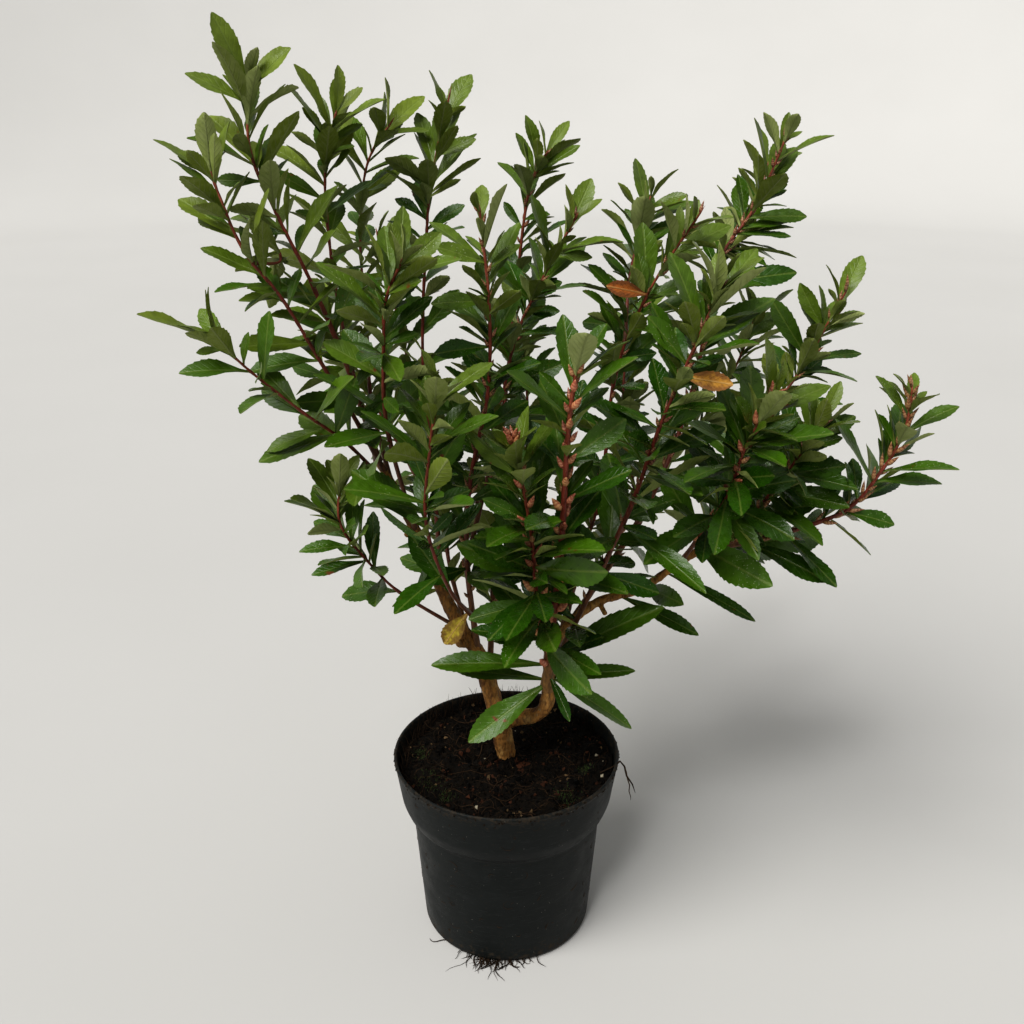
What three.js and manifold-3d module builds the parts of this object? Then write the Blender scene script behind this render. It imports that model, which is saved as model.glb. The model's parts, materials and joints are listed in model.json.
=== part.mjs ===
// Potted bog myrtle: a many-stemmed evergreen shrub in a round nursery pot.
// Millimetres, +Z up. The origin is the centre of the pot's base, on the surface it stands on.
// The shrub is seen from -Y, with +X to the right.
import * as THREE from "three";
import { mergeVertices } from "three/addons/utils/BufferGeometryUtils.js";
import Module from "manifold-3d";

const wasm = await Module();
wasm.setup();

// Pot
const POT_HEIGHT = 130;
const POT_RIM_RADIUS = 75;
const POT_BASE_RADIUS = 57;
const POT_COLLAR_HEIGHT = 30;
const POT_COLLAR_TAPER = 4.5;
const POT_SHOULDER_HEIGHT = 12;
const POT_SHOULDER_RADIUS = 63.4;
const POT_SHOULDER_SWELL = 4;
const POT_WALL = 1.5;
const POT_FLOOR = 2.5;
const POT_CORNER = 2.5;
const POT_SIDES = 36;
const DRAIN_HOLES = 8;
const DRAIN_RADIUS = 4.5;
const DRAIN_CIRCLE = 44;

// Soil
const SOIL_DEPTH_BELOW_RIM = 9;
const SOIL_BANK = 3;
const SOIL_LUMP = 1.6;

// Clearance between pieces that touch, and between one leaf and the next
const SEAT_GAP = 0.3;
const SHORT_EDGE = 0.02;
const LEAF_CLEARANCE = 1.5;
const STEM_CLEARANCE = 1.3;
const RIM_INNER_REACH = 67;
const LOWEST_OVER_SOIL = 127;
const LOWEST_OUTSIDE = 134;
const BUD_REACH = 3;

// Stems
const STEM_SIDES = 4;
const THICK_STEM_SIDES = 6;
const THICK_STEM = 3;
const WOOD_SIDES = 8;
const STEM_STEP = 28;
const LEAST_SPANS = 3;
const CURVE_TENSION = 0.5;
const LAST_RING = 0.985;
const RING_TURN = 0.3;

// Leaves. A row of a leaf's outline is a share of its length and how far the toothed edge stands out
// from, or back to, the plain shape there.
const LEAF_THICKNESS = 1.0;
const LEAF_WIDTH_SHARE = 0.37;
const LIGHT = [0, -0.55, 1];
const LIGHT_PULL = 1.1;
const LEAF_FULLNESS = 1.55;
const PETIOLE_HALF_WIDTH = 0.8;
const ROOT_SHARE = 0.6;
const LARGE_LEAF = 56;
const LARGE_EDGE = [[0.12, 1], [0.38, 1], [0.62, 1.05], [0.67, 0.9], [0.8, 1.1], [0.84, 0.94], [0.94, 1.3]];
const SMALL_EDGES = [
  [[0.13, 1], [0.42, 1], [0.66, 1.05], [0.71, 0.9], [0.86, 1.15]],
  [[0.13, 1], [0.42, 1], [0.7, 1.03], [0.88, 1.15]],
];
const MIDRIB_ROWS = [[0.13], [0.6]];

// Where leaves sit: turned on from one to the next, closer together and steeper towards the tip.
// The spreads are degrees from the stem, and the varied values are a least share and what luck adds.
const GOLDEN_TURN = 137.5;
const STEM_TURN = 77;
const TURN_LUCK = 40;
const LOW_SPREAD = 64;
const TOP_SPREAD = 26;
const SPREAD_LUCK = 16;
const LENGTH_SHARES = [0.84, 0.32];
const WIDTH_SHARES = [0.85, 0.3];
const ARCHES = [0.1, 0.5];
const YOUNG_FROM = 0.93;
const YOUNG_SHARE = 0.72;
const TIP_CROWDING = 1.3;
const LAST_LEAF = 0.96;
const BASE_LEAF_ARCH = 0.25;

// Buds
const BUD_LENGTH = 8.5;
const BUD_RADIUS = 1.9;
const BUD_SIDES = 3;
const BUD_LEAN = 0.55;
const BUD_WAIST = 0.45;
const BUD_RISE = 2.5;
const BUD_TURN = 40;

// A stem stands on its parent at a share of the parent's length, then runs through its points.
// foot and tip are radii. leaves is how many it carries, from the share "bare" of its length on,
// and their length falls from the first number of "size" to the second. buds is every how many leaves.
const STEMS = {
  trunk: {
    points: [[0, 3, 76], [0, 3, 120], [-2, 3, 134], [-5, 3, 150]],
    foot: 6, tip: 7,
  },
  left_limb: {
    parent: "trunk", at: 1, wood: true,
    points: [[-10, 4, 172], [-18, 7, 198], [-33, 8, 225], [-51, 6, 273], [-66, 4, 311], [-77, 2, 334]],
    foot: 6.2, tip: 2.3,
  },
  right_limb: {
    parent: "trunk", at: 0.97, wood: true,
    points: [[10, -3, 157], [20, -8, 162], [26, -10, 172], [27, -10, 186]],
    foot: 5, tip: 4.2,
  },
  right_low_limb: {
    parent: "right_limb", at: 1, wood: true,
    points: [[35, 5, 214], [57, 12, 233], [87, 14, 243], [110, 14, 261], [123, 12, 271]],
    foot: 3.4, tip: 2.2,
  },
  left_tall: {
    parent: "left_limb", at: 1,
    points: [[-90, 0, 386], [-107, -8, 440], [-124, -13, 482], [-136, -10, 515], [-135, -5, 549]],
    foot: 2.1, tip: 0.8, leaves: 13, bare: 0.12, size: [44, 38],
  },
  left_outer: {
    parent: "left_limb", at: 0.95,
    points: [[-86, -10, 361], [-104, -23, 403], [-120, -33, 439], [-138, -38, 467],
      [-150, -36, 500], [-152, -33, 508]],
    foot: 1.7, tip: 0.8, leaves: 13, bare: 0.14, size: [44, 34],
  },
  left_twig: {
    parent: "left_outer", at: 0.62,
    points: [[-123, -15, 457], [-132, -3, 472]],
    foot: 1.1, tip: 0.7, leaves: 5, bare: 0.3, size: [36, 32],
  },
  left_middle: {
    parent: "left_tall", at: 0.06,
    points: [[-92, 20, 384], [-101, 33, 430], [-105, 38, 477], [-103, 38, 506], [-95, 33, 532]],
    foot: 1.6, tip: 0.8, leaves: 12, bare: 0.16, size: [44, 36],
  },
  left_inner: {
    parent: "left_limb", at: 0.89,
    points: [[-84, 38, 361], [-88, 64, 406], [-91, 77, 453], [-85, 79, 498], [-67, 77, 526]],
    foot: 1.6, tip: 0.8, leaves: 12, bare: 0.12, size: [44, 36],
  },
  left_front: {
    parent: "left_limb", at: 0.72,
    points: [[-66, -38, 367], [-64, -56, 418], [-61, -61, 445], [-51, -64, 467]],
    foot: 1.6, tip: 0.8, leaves: 12, bare: 0.2, size: [46, 34],
  },
  left_low: {
    parent: "left_limb", at: 0.82,
    points: [[-89, -26, 353], [-111, -49, 381], [-136, -64, 410], [-151, -69, 430]],
    foot: 1.5, tip: 0.8, leaves: 12, bare: 0.14, size: [44, 38],
  },
  left_lowest: {
    parent: "left_limb", at: 0.45,
    points: [[-65, -10, 251], [-82, -28, 281], [-96, -36, 309], [-95, -33, 334]],
    foot: 1.4, tip: 0.8, leaves: 12, bare: 0.16, size: [46, 34],
  },
  crown_left: {
    parent: "left_limb", at: 0.3,
    points: [[-41, 38, 237], [-48, 61, 300], [-54, 74, 378], [-50, 79, 453], [-45, 77, 492], [-32, 72, 544]],
    foot: 2.1, tip: 0.8, leaves: 15, bare: 0.2, size: [46, 36],
  },
  crown_back_left: {
    parent: "left_limb", at: 0.41,
    points: [[-40, 67, 239], [-45, 97, 279], [-62, 118, 337], [-74, 125, 392], [-87, 128, 454]],
    foot: 1.9, tip: 0.8, leaves: 13, bare: 0.2, size: [46, 36],
  },
  crown_middle: {
    parent: "left_limb", at: 0.34,
    points: [[-24, -8, 272], [-21, -15, 327], [-10, -20, 384], [-9, -23, 436], [-14, -20, 488]],
    foot: 2.2, tip: 0.9, leaves: 13, bare: 0.16, size: [50, 34], buds: 3,
  },
  crown_back: {
    parent: "left_limb", at: 0.2,
    points: [[-8, 51, 246], [-3, 79, 321], [5, 95, 406], [14, 95, 479], [26, 92, 506]],
    foot: 2.2, tip: 0.8, leaves: 15, bare: 0.18, size: [50, 36], buds: 3,
  },
  crown_right: {
    parent: "crown_middle", at: 0.2,
    points: [[-8, 33, 330], [4, 46, 392], [20, 46, 431], [43, 44, 475]],
    foot: 1.7, tip: 0.8, leaves: 13, bare: 0.14, size: [48, 36], buds: 4,
  },
  crown_front: {
    parent: "crown_middle", at: 0.08,
    points: [[-33, -51, 275], [-43, -74, 325], [-39, -82, 372], [-33, -84, 407]],
    foot: 1.6, tip: 0.8, leaves: 12, bare: 0.2, size: [52, 38],
  },
  front_stem: {
    parent: "right_limb", at: 0.97,
    points: [[27, -28, 228], [31, -51, 286], [32, -74, 345], [33, -87, 388], [37, -95, 426]],
    foot: 3.8, tip: 1.2, leaves: 13, bare: 0.3, size: [56, 36], buds: 2,
  },
  front_twin: {
    parent: "front_stem", at: 0.12,
    points: [[18, -49, 270], [14, -69, 319], [4, -82, 378]],
    foot: 2.0, tip: 0.9, leaves: 12, bare: 0.3, size: [58, 40], buds: 3,
  },
  right_back: {
    parent: "right_limb", at: 0.93,
    points: [[48, 28, 256], [61, 38, 302], [67, 36, 376], [83, 20, 431], [110, 0, 484]],
    foot: 2.4, tip: 0.8, leaves: 14, bare: 0.22, size: [54, 38], buds: 3,
  },
  right_dark: {
    parent: "right_back", at: 0.68,
    points: [[76, 54, 437], [88, 64, 483]],
    foot: 1.3, tip: 0.8, leaves: 8, bare: 0.18, size: [44, 36],
  },
  right_front: {
    parent: "right_low_limb", at: 0.05,
    points: [[69, -36, 311], [84, -56, 375], [100, -64, 424], [111, -67, 456]],
    foot: 2.0, tip: 0.8, leaves: 13, bare: 0.22, size: [56, 38], buds: 3,
  },
  right_tall: {
    parent: "right_low_limb", at: 0.16,
    points: [[96, 64, 284], [127, 97, 358], [137, 110, 428], [162, 113, 471], [180, 110, 521]],
    foot: 2.4, tip: 0.9, leaves: 17, bare: 0.2, size: [52, 34], buds: 2,
  },
  right_tall_side: {
    parent: "right_tall", at: 0.64,
    points: [[158, 131, 449], [175, 143, 496]],
    foot: 1.2, tip: 0.8, leaves: 8, bare: 0.2, size: [44, 32],
  },
  right_outer: {
    parent: "right_low_limb", at: 0.93,
    points: [[144, 31, 286], [166, 46, 344], [188, 51, 383], [207, 44, 430]],
    foot: 1.9, tip: 0.8, leaves: 13, bare: 0.14, size: [50, 34], buds: 3,
  },
  right_lowest: {
    parent: "right_low_limb", at: 1,
    points: [[160, -3, 286], [200, -20, 310], [217, -28, 339], [226, -31, 365], [227, -31, 390]],
    foot: 2.1, tip: 0.8, leaves: 15, bare: 0.08, size: [54, 28], buds: 2,
  },
  right_middle: {
    parent: "right_lowest", at: 0.12,
    points: [[157, -3, 310], [170, -15, 340], [183, -20, 367]],
    foot: 1.5, tip: 0.8, leaves: 11, bare: 0.2, size: [50, 34], buds: 3,
  },
  right_near: {
    parent: "right_low_limb", at: 0.82,
    points: [[127, -31, 321], [131, -54, 360], [143, -61, 394]],
    foot: 1.6, tip: 0.8, leaves: 12, bare: 0.22, size: [54, 38], buds: 3,
  },
  back_left: {
    parent: "crown_back_left", at: 0.27,
    points: [[-81, 123, 311], [-110, 133, 358], [-127, 128, 406]],
    foot: 1.4, tip: 0.8, leaves: 12, bare: 0.18, size: [46, 36],
  },
  back_middle: {
    parent: "crown_back", at: 0.2,
    points: [[12, 108, 291], [14, 136, 344], [4, 148, 405]],
    foot: 1.6, tip: 0.8, leaves: 12, bare: 0.2, size: [46, 36],
  },
  back_right: {
    parent: "right_tall", at: 0.18,
    points: [[87, 108, 291], [83, 138, 343], [92, 151, 399]],
    foot: 1.6, tip: 0.8, leaves: 12, bare: 0.2, size: [48, 36], buds: 3,
  },
  back_low: {
    parent: "right_tall", at: 0.3,
    points: [[137, 118, 322], [164, 143, 358], [177, 151, 395]],
    foot: 1.4, tip: 0.8, leaves: 11, bare: 0.2, size: [46, 34],
  },
};

// Large leaves at the foot of the front stem, each from a share of the stem's length to its tip.
// face is which way the upper side looks.
const BASE_LEAVES = [
  { at: 0.02, tip: [-25, -34, 160], width: 20, face: [-0.3, -0.8, 0.6] },
  { at: 0.03, tip: [-32, -8, 200], width: 16, face: [0, -0.4, 1] },
  { at: 0.1, tip: [-46, -24, 214], width: 17, face: [0, -0.5, 1] },
  { at: 0.2, tip: [-36, -44, 270], width: 17, face: [0, -0.6, 1] },
  { at: 0.12, tip: [90, -34, 258], width: 21, face: [-0.3, -0.6, 1] },
  { at: 0.04, tip: [80, -20, 206], width: 13, face: [0.1, -0.5, 1] },
  { at: 0.05, tip: [84, -22, 164], width: 15, face: [0.3, -0.6, 1] },
  { at: 0.16, tip: [52, -62, 264], width: 15, face: [0.6, -0.7, 0.6] },
];

// Turns tried, in degrees, until a leaf has space, and how much it shrinks at each.
const TRIES = [0, 18, -18, 36, -36, 54, -54, 75, -75, 100, -100, 130, -130, 165];
const SHRINK_PER_TRY = 0.02;

// A repeatable stream of numbers from 0 to 1.
function randomStream(seed) {
  let state = (seed * 2654435 + 12345) % 4294967296;
  const next = () => {
    state = (state * 1664525 + 1013904223) % 4294967296;
    return state / 4294967296;
  };
  next();
  next();
  return next;
}

const mix = (a, b, t) => a + (b - a) * t;
const varied = ([least, more], luck) => least + more * luck;
const vector = (p) => new THREE.Vector3(p[0], p[1], p[2]);
const sum = (...terms) => {
  const total = new THREE.Vector3();
  for (const [v, k] of terms) total.addScaledVector(v, k);
  return total;
};

// Closed mesh to solid and back.
function solid(points, faces) {
  const vertProperties = new Float32Array(points.flatMap((p) => [p.x, p.y, p.z]));
  return new wasm.Manifold(new wasm.Mesh({ numProp: 3, vertProperties, triVerts: new Uint32Array(faces.flat()) }));
}

function solidOf(geometry) {
  const bare = geometry.clone();
  bare.deleteAttribute("normal");
  bare.deleteAttribute("uv");
  const merged = mergeVertices(bare, 1e-4);
  const triVerts = new Uint32Array(merged.index.array);
  return new wasm.Manifold(new wasm.Mesh({ numProp: 3, vertProperties: merged.attributes.position.array, triVerts }));
}

function geometryOf(body) {
  const { vertProperties, triVerts } = body.getMesh();
  const geometry = new THREE.BufferGeometry();
  geometry.setAttribute("position", new THREE.BufferAttribute(vertProperties, 3));
  geometry.setIndex(new THREE.BufferAttribute(triVerts, 1));
  geometry.computeVertexNormals();
  return geometry;
}

const largest = (body) => body.decompose().reduce((a, b) => (b.volume() > a.volume() ? b : a));

// A stem's centre line, with its radius and a frame of two cross directions anywhere along it.
class Stem {
  constructor(name, row, parent) {
    this.name = name;
    this.row = row;
    const foot = parent ? [parent.curve.getPoint(row.at)] : [];
    this.curve = new THREE.CatmullRomCurve3([...foot, ...row.points.map(vector)], false, "catmullrom",
      CURVE_TENSION);
    this.length = this.curve.getLength();
    this.seat = parent ? parent.axisPoint(row.at) : this.curve.getPoint(0);
  }

  radius(t) {
    return mix(this.row.foot, this.row.tip, t);
  }

  sides() {
    if (this.row.wood || !this.row.parent) return WOOD_SIDES;
    return this.row.foot > THICK_STEM ? THICK_STEM_SIDES : STEM_SIDES;
  }

  frame(t) {
    const along = this.curve.getTangent(t);
    const side = new THREE.Vector3().crossVectors(along, new THREE.Vector3(0, 1, 0)).normalize();
    const front = new THREE.Vector3().crossVectors(along, side).normalize();
    return { at: this.curve.getPoint(t), along, side, front };
  }

  // Shares of the length at which the tube has a ring.
  rings() {
    const spans = Math.max(LEAST_SPANS, Math.round(this.length / STEM_STEP));
    return Array.from({ length: spans + 1 }, (_, i) => (LAST_RING * i) / spans);
  }

  // The point on the tube's own axis, which runs straight from ring to ring.
  axisPoint(t) {
    const shares = [...this.rings(), 1];
    const i = shares.findIndex((share) => share >= t) || 1;
    const before = i === 1 ? this.seat : this.curve.getPoint(shares[i - 1]);
    return before.clone().lerp(this.curve.getPoint(shares[i]), (t - shares[i - 1]) / (shares[i] - shares[i - 1]));
  }

  // A tapered tube with a blunt tip. "grow" makes it thicker and longer, to cut its neighbours clear.
  tube(grow = 0) {
    const sides = this.sides();
    const shares = this.rings();
    const rings = shares.length;
    const points = [];
    const faces = [];
    for (const t of shares) {
      const { at, along, side, front } = this.frame(t);
      const radius = this.radius(t) + grow;
      if (t === 0) at.copy(this.seat).addScaledVector(along, -grow);
      for (let j = 0; j < sides; j++) {
        const turn = (2 * Math.PI * (j + RING_TURN)) / sides;
        points.push(sum([at, 1], [side, radius * Math.cos(turn)], [front, radius * Math.sin(turn)]));
      }
    }
    const end = this.frame(1);
    const blunt = this.row.wood ? this.row.tip : this.row.tip / 2;
    points.push(sum([end.at, 1], [end.along, blunt + grow]));
    for (let i = 0; i < rings - 1; i++) {
      for (let j = 0; j < sides; j++) {
        const [a, b] = [i * sides + j, i * sides + ((j + 1) % sides)];
        faces.push([a, b, b + sides], [a, b + sides, a + sides]);
      }
    }
    const last = (rings - 1) * sides;
    for (let j = 0; j < sides; j++) faces.push([last + j, last + ((j + 1) % sides), rings * sides]);
    for (let j = 2; j < sides; j++) faces.push([0, j, j - 1]);
    return solid(points, faces);
  }
}

// A leaf's blade: a centre line that arches away from its upper side, and a width along it.
class Leaf {
  constructor(foot, direction, upper, length, width, arch) {
    this.foot = foot;
    this.direction = direction.clone().normalize();
    const side = new THREE.Vector3().crossVectors(this.direction, upper).normalize();
    this.side = side;
    this.upper = new THREE.Vector3().crossVectors(side, this.direction);
    this.length = length;
    this.width = width;
    this.arch = arch;
  }

  halfWidth(u) {
    const full = (this.width / 2) * Math.sin(Math.PI * Math.min(1, u) ** LEAF_FULLNESS);
    return Math.max(full, u < 0.5 ? PETIOLE_HALF_WIDTH : 0);
  }

  // The point at a share u of the length and v of the half-width, from -1 to 1, raised by lift.
  point(u, v, lift = 0) {
    const half = this.halfWidth(u);
    const rise = lift - (this.arch * this.length * u * u) / 2;
    return sum([this.foot, 1], [this.direction, this.length * u], [this.upper, rise], [this.side, half * v]);
  }

  // A flat upper side between the two toothed edges, and a keel below, deepest at the midrib.
  // It starts just behind the axis of the stem's tube.
  solid(stem, t) {
    const [leftEdge, rightEdge] = this.length >= LARGE_LEAF ? [LARGE_EDGE, LARGE_EDGE] : SMALL_EDGES;
    const root = sum([stem.axisPoint(t), 1], [this.direction, -ROOT_SHARE * stem.radius(t)]);
    const points = [root, this.point(1, 0)];
    const faces = [];
    const chain = (rows, place) => [
      [0, 0],
      ...rows.map(([u, wide]) => [u, points.push(place(u, wide)) - 1]),
      [1, 1],
    ];
    const left = chain(leftEdge, (u, wide) => this.point(u, -wide));
    const right = chain(rightEdge, (u, wide) => this.point(u, wide));
    const rib = chain(MIDRIB_ROWS, (u) => this.point(u, 0, -LEAF_THICKNESS));
    zip(left, right, (a, b, c) => faces.push([a, b, c]));
    zip(rib, left, (a, b, c) => faces.push([a, b, c]));
    zip(right, rib, (a, b, c) => faces.push([a, b, c]));
    return solid(points, faces);
  }
}

// Triangles between two edges that share their first point and their last.
function zip(one, other, face) {
  let [i, j] = [0, 0];
  const keep = (a, b, c) => a !== b && b !== c && c !== a && face(a, b, c);
  while (i < one.length - 1 || j < other.length - 1) {
    const alongOne = j === other.length - 1 || (i < one.length - 1 && one[i + 1][0] <= other[j + 1][0]);
    if (alongOne) keep(one[i][1], other[j][1], one[++i][1]);
    else keep(one[i][1], other[j][1], other[++j][1]);
  }
}

// Room: what is placed already, and whether a new leaf has space beside it.
const SAMPLE_ROWS = [0.2, 0.32, 0.44, 0.56, 0.68, 0.8, 0.9];
const PANEL_ROWS = [0.1, 0.22, 0.4, 0.68, 0.88];
const ROOT_PANELS = 2;
const ROOT_ZONE = 6;
const BEAD_STEP = 4;

function segmentDistance(p, a, b) {
  const [ab, ap] = [sum([b, 1], [a, -1]), sum([p, 1], [a, -1])];
  const t = Math.min(1, Math.max(0, ap.dot(ab) / Math.max(ab.dot(ab), 1e-9)));
  return ap.addScaledVector(ab, -t).length();
}

function panelDistance(p, [a, b, c], normal) {
  const inside = [[a, b], [b, c], [c, a]].every(([s, e]) =>
    new THREE.Vector3().crossVectors(sum([e, 1], [s, -1]), sum([p, 1], [s, -1])).dot(normal) >= 0);
  if (inside) return Math.abs(sum([p, 1], [a, -1]).dot(normal));
  return Math.min(segmentDistance(p, a, b), segmentDistance(p, b, c), segmentDistance(p, c, a));
}

function outlineOf(leaf) {
  const samples = SAMPLE_ROWS.flatMap((u) => [-1, 0, 1].map((v) => leaf.point(u, v)));
  samples.push(leaf.point(1, 0));
  const rows = PANEL_ROWS.map((u) => [leaf.point(u, -1), leaf.point(u, 1)]);
  const panels = [];
  for (let i = 0; i < rows.length - 1; i++) {
    const [[a, b], [c, d]] = [rows[i], rows[i + 1]];
    panels.push([a, b, c], [b, d, c]);
  }
  panels.push([...rows[rows.length - 1], leaf.point(1, 0)]);
  const normals = panels.map(([a, b, c]) =>
    new THREE.Vector3().crossVectors(sum([b, 1], [a, -1]), sum([c, 1], [a, -1])).normalize());
  return { samples, panels, normals, foot: leaf.foot, centre: leaf.point(0.55, 0), reach: leaf.length * 0.6 + 2 };
}

class Room {
  constructor(stems) {
    this.leaves = [];
    this.beads = stems.flatMap((stem) => {
      const spare = STEM_CLEARANCE + (stem.row.buds ? BUD_REACH : 0);
      const count = Math.ceil(stem.length / BEAD_STEP);
      return Array.from({ length: count + 1 }, (_, i) => {
        const radius = stem.radius(i / count);
        const at = stem.curve.getPoint(i / count);
        return { stem, at, keep: radius + STEM_CLEARANCE, keepOthers: radius + spare };
      });
    });
  }

  // No leaf lies in the soil or hangs to the pot's rim.
  clearOfPot(shape) {
    return shape.samples.every((p) => {
      const lowest = Math.hypot(p.x, p.y) < RIM_INNER_REACH ? LOWEST_OVER_SOIL : LOWEST_OUTSIDE;
      return p.z > lowest;
    });
  }

  // Near its own foot a leaf may touch its own stem, and any stem that forks there.
  clearOfStems(shape, own) {
    return this.beads.every(({ stem, at, keep, keepOthers }) => {
      if (at.distanceTo(shape.centre) > shape.reach + keepOthers) return true;
      const rootZone = at.distanceTo(shape.foot) < ROOT_ZONE;
      const far = stem === own ? keep : rootZone ? keep - STEM_CLEARANCE : keepOthers;
      const first = stem === own ? ROOT_PANELS : 0;
      return shape.panels.every((panel, k) => k < first || panelDistance(at, panel, shape.normals[k]) >= far);
    });
  }

  clearOfLeaves(shape) {
    return this.leaves.every((other) => {
      if (shape.centre.distanceTo(other.centre) > shape.reach + other.reach) return true;
      const apart = (points, panels, normals) =>
        points.every((p) => panels.every((panel, k) => panelDistance(p, panel, normals[k]) >= LEAF_CLEARANCE));
      return apart(shape.samples, other.panels, other.normals) && apart(other.samples, shape.panels, shape.normals);
    });
  }

  hasSpaceFor(leaf, own) {
    const shape = outlineOf(leaf);
    if (!this.clearOfPot(shape) || !this.clearOfStems(shape, own) || !this.clearOfLeaves(shape)) return false;
    this.leaves.push(shape);
    return true;
  }
}

// A leaf on a stem at a share t of its length, turned about the stem by an angle in degrees.
function leafOnStem(stem, t, turnDegrees, draw, shrink) {
  const { at, along, side, front } = stem.frame(t);
  const turn = THREE.MathUtils.degToRad(turnDegrees);
  const outward = sum([side, Math.cos(turn)], [front, Math.sin(turn)]);
  const spread = THREE.MathUtils.degToRad(mix(LOW_SPREAD, TOP_SPREAD, t * t) + SPREAD_LUCK * (draw.spread - 0.5));
  const direction = sum([along, Math.cos(spread)], [outward, Math.sin(spread)]);
  const upper = sum([along, Math.sin(spread)], [outward, -Math.cos(spread)], [vector(LIGHT), LIGHT_PULL]);
  const [low, high] = stem.row.size;
  const young = t > YOUNG_FROM ? YOUNG_SHARE : 1;
  const length = mix(low, high, t) * varied(LENGTH_SHARES, draw.size) * young * shrink;
  const width = length * LEAF_WIDTH_SHARE * varied(WIDTH_SHARES, draw.width);
  return new Leaf(at, direction, upper, length, width, mix(...ARCHES, draw.arch));
}

function growLeaves(stem, index, room) {
  const { leaves: count = 0, bare } = stem.row;
  const placed = [];
  for (let j = 0; j < count; j++) {
    const random = randomStream(1000 * index + j);
    const draw = {};
    for (const key of ["shift", "turn", "spread", "size", "width", "arch"]) draw[key] = random();
    const share = (j + 0.5 * draw.shift) / (count - 0.5);
    const t = mix(bare, LAST_LEAF, 1 - (1 - share) ** TIP_CROWDING);
    const turn = j * GOLDEN_TURN + TURN_LUCK * (draw.turn - 0.5) + STEM_TURN * index;
    for (const [k, offset] of TRIES.entries()) {
      const leaf = leafOnStem(stem, t, turn + offset, draw, 1 - SHRINK_PER_TRY * k);
      if (!room.hasSpaceFor(leaf, stem)) continue;
      placed.push({ leaf, t, turn: turn + offset });
      break;
    }
  }
  return placed;
}

function growBaseLeaves(stem, room) {
  return BASE_LEAVES.flatMap(({ at, tip, width, face }) => {
    const foot = stem.curve.getPoint(at);
    const reach = sum([vector(tip), 1], [foot, -1]);
    const leaf = new Leaf(foot, reach, vector(face), reach.length(), width, BASE_LEAF_ARCH);
    return room.hasSpaceFor(leaf, stem) ? [{ leaf, t: at }] : [];
  });
}

// A pointed bud in the axil of a leaf.
function bud(stem, t, turnDegrees) {
  const { along, side, front } = stem.frame(t);
  const at = stem.axisPoint(t);
  const turn = THREE.MathUtils.degToRad(turnDegrees);
  const outward = sum([side, Math.cos(turn)], [front, Math.sin(turn)]);
  const lean = sum([along, Math.cos(BUD_LEAN)], [outward, Math.sin(BUD_LEAN)]);
  const across = new THREE.Vector3().crossVectors(lean, outward).normalize();
  const over = new THREE.Vector3().crossVectors(lean, across);
  const foot = sum([at, 1], [outward, stem.radius(t) * 0.5]);
  const waist = sum([foot, 1], [lean, BUD_LENGTH * BUD_WAIST]);
  const points = [at, sum([foot, 1], [lean, BUD_LENGTH])];
  const faces = [];
  for (let j = 0; j < BUD_SIDES; j++) {
    const a = (2 * Math.PI * j) / BUD_SIDES;
    points.push(sum([waist, 1], [across, BUD_RADIUS * Math.cos(a)], [over, BUD_RADIUS * Math.sin(a)]));
    const [here, next] = [2 + j, 2 + ((j + 1) % BUD_SIDES)];
    faces.push([0, next, here], [1, here, next]);
  }
  return solid(points, faces);
}

// Pot: one turned shell, open at the top, with drain holes round the floor.
function potProfile() {
  const collarFoot = POT_HEIGHT - POT_COLLAR_HEIGHT;
  const collarRadius = POT_RIM_RADIUS - POT_COLLAR_TAPER;
  const shoulderFoot = collarFoot - POT_SHOULDER_HEIGHT;
  const outside = [
    [0, 0], [POT_BASE_RADIUS - POT_CORNER, 0], [POT_BASE_RADIUS, POT_CORNER],
    [POT_SHOULDER_RADIUS, shoulderFoot],
    [POT_SHOULDER_RADIUS + POT_SHOULDER_SWELL, shoulderFoot + POT_SHOULDER_SWELL],
    [collarRadius, collarFoot],
    [POT_RIM_RADIUS, POT_HEIGHT],
  ];
  const inside = [
    [POT_RIM_RADIUS - POT_WALL, POT_HEIGHT], [collarRadius - POT_WALL, collarFoot],
    [POT_SHOULDER_RADIUS - POT_WALL, shoulderFoot], [POT_BASE_RADIUS - POT_WALL, POT_FLOOR], [0, POT_FLOOR],
  ];
  return { outside, inside };
}

function turned(profile) {
  return new THREE.LatheGeometry(profile.map(([r, z]) => new THREE.Vector2(r, z)), POT_SIDES).rotateX(Math.PI / 2);
}

function makePot() {
  const { outside, inside } = potProfile();
  let body = solidOf(turned([...outside, ...inside]));
  for (let i = 0; i < DRAIN_HOLES; i++) {
    const turn = (2 * Math.PI * (i + 0.5)) / DRAIN_HOLES;
    const hole = new THREE.CylinderGeometry(DRAIN_RADIUS, DRAIN_RADIUS, POT_FLOOR * 4, 8).rotateX(Math.PI / 2)
      .translate(DRAIN_CIRCLE * Math.cos(turn), DRAIN_CIRCLE * Math.sin(turn), 0);
    body = body.subtract(solidOf(hole));
  }
  return body;
}

// Soil: a plug a hair smaller than the inside of the pot, its top raised and dented by a formula.
function soilTop(x, y) {
  const bank = SOIL_BANK * (y / POT_RIM_RADIUS);
  const lumps = Math.sin(x * 0.17 + 1.3) * Math.cos(y * 0.21 - 0.4) + 0.5 * Math.sin(x * 0.31 - y * 0.27);
  return POT_HEIGHT - SOIL_DEPTH_BELOW_RIM + bank + SOIL_LUMP * lumps;
}

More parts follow.
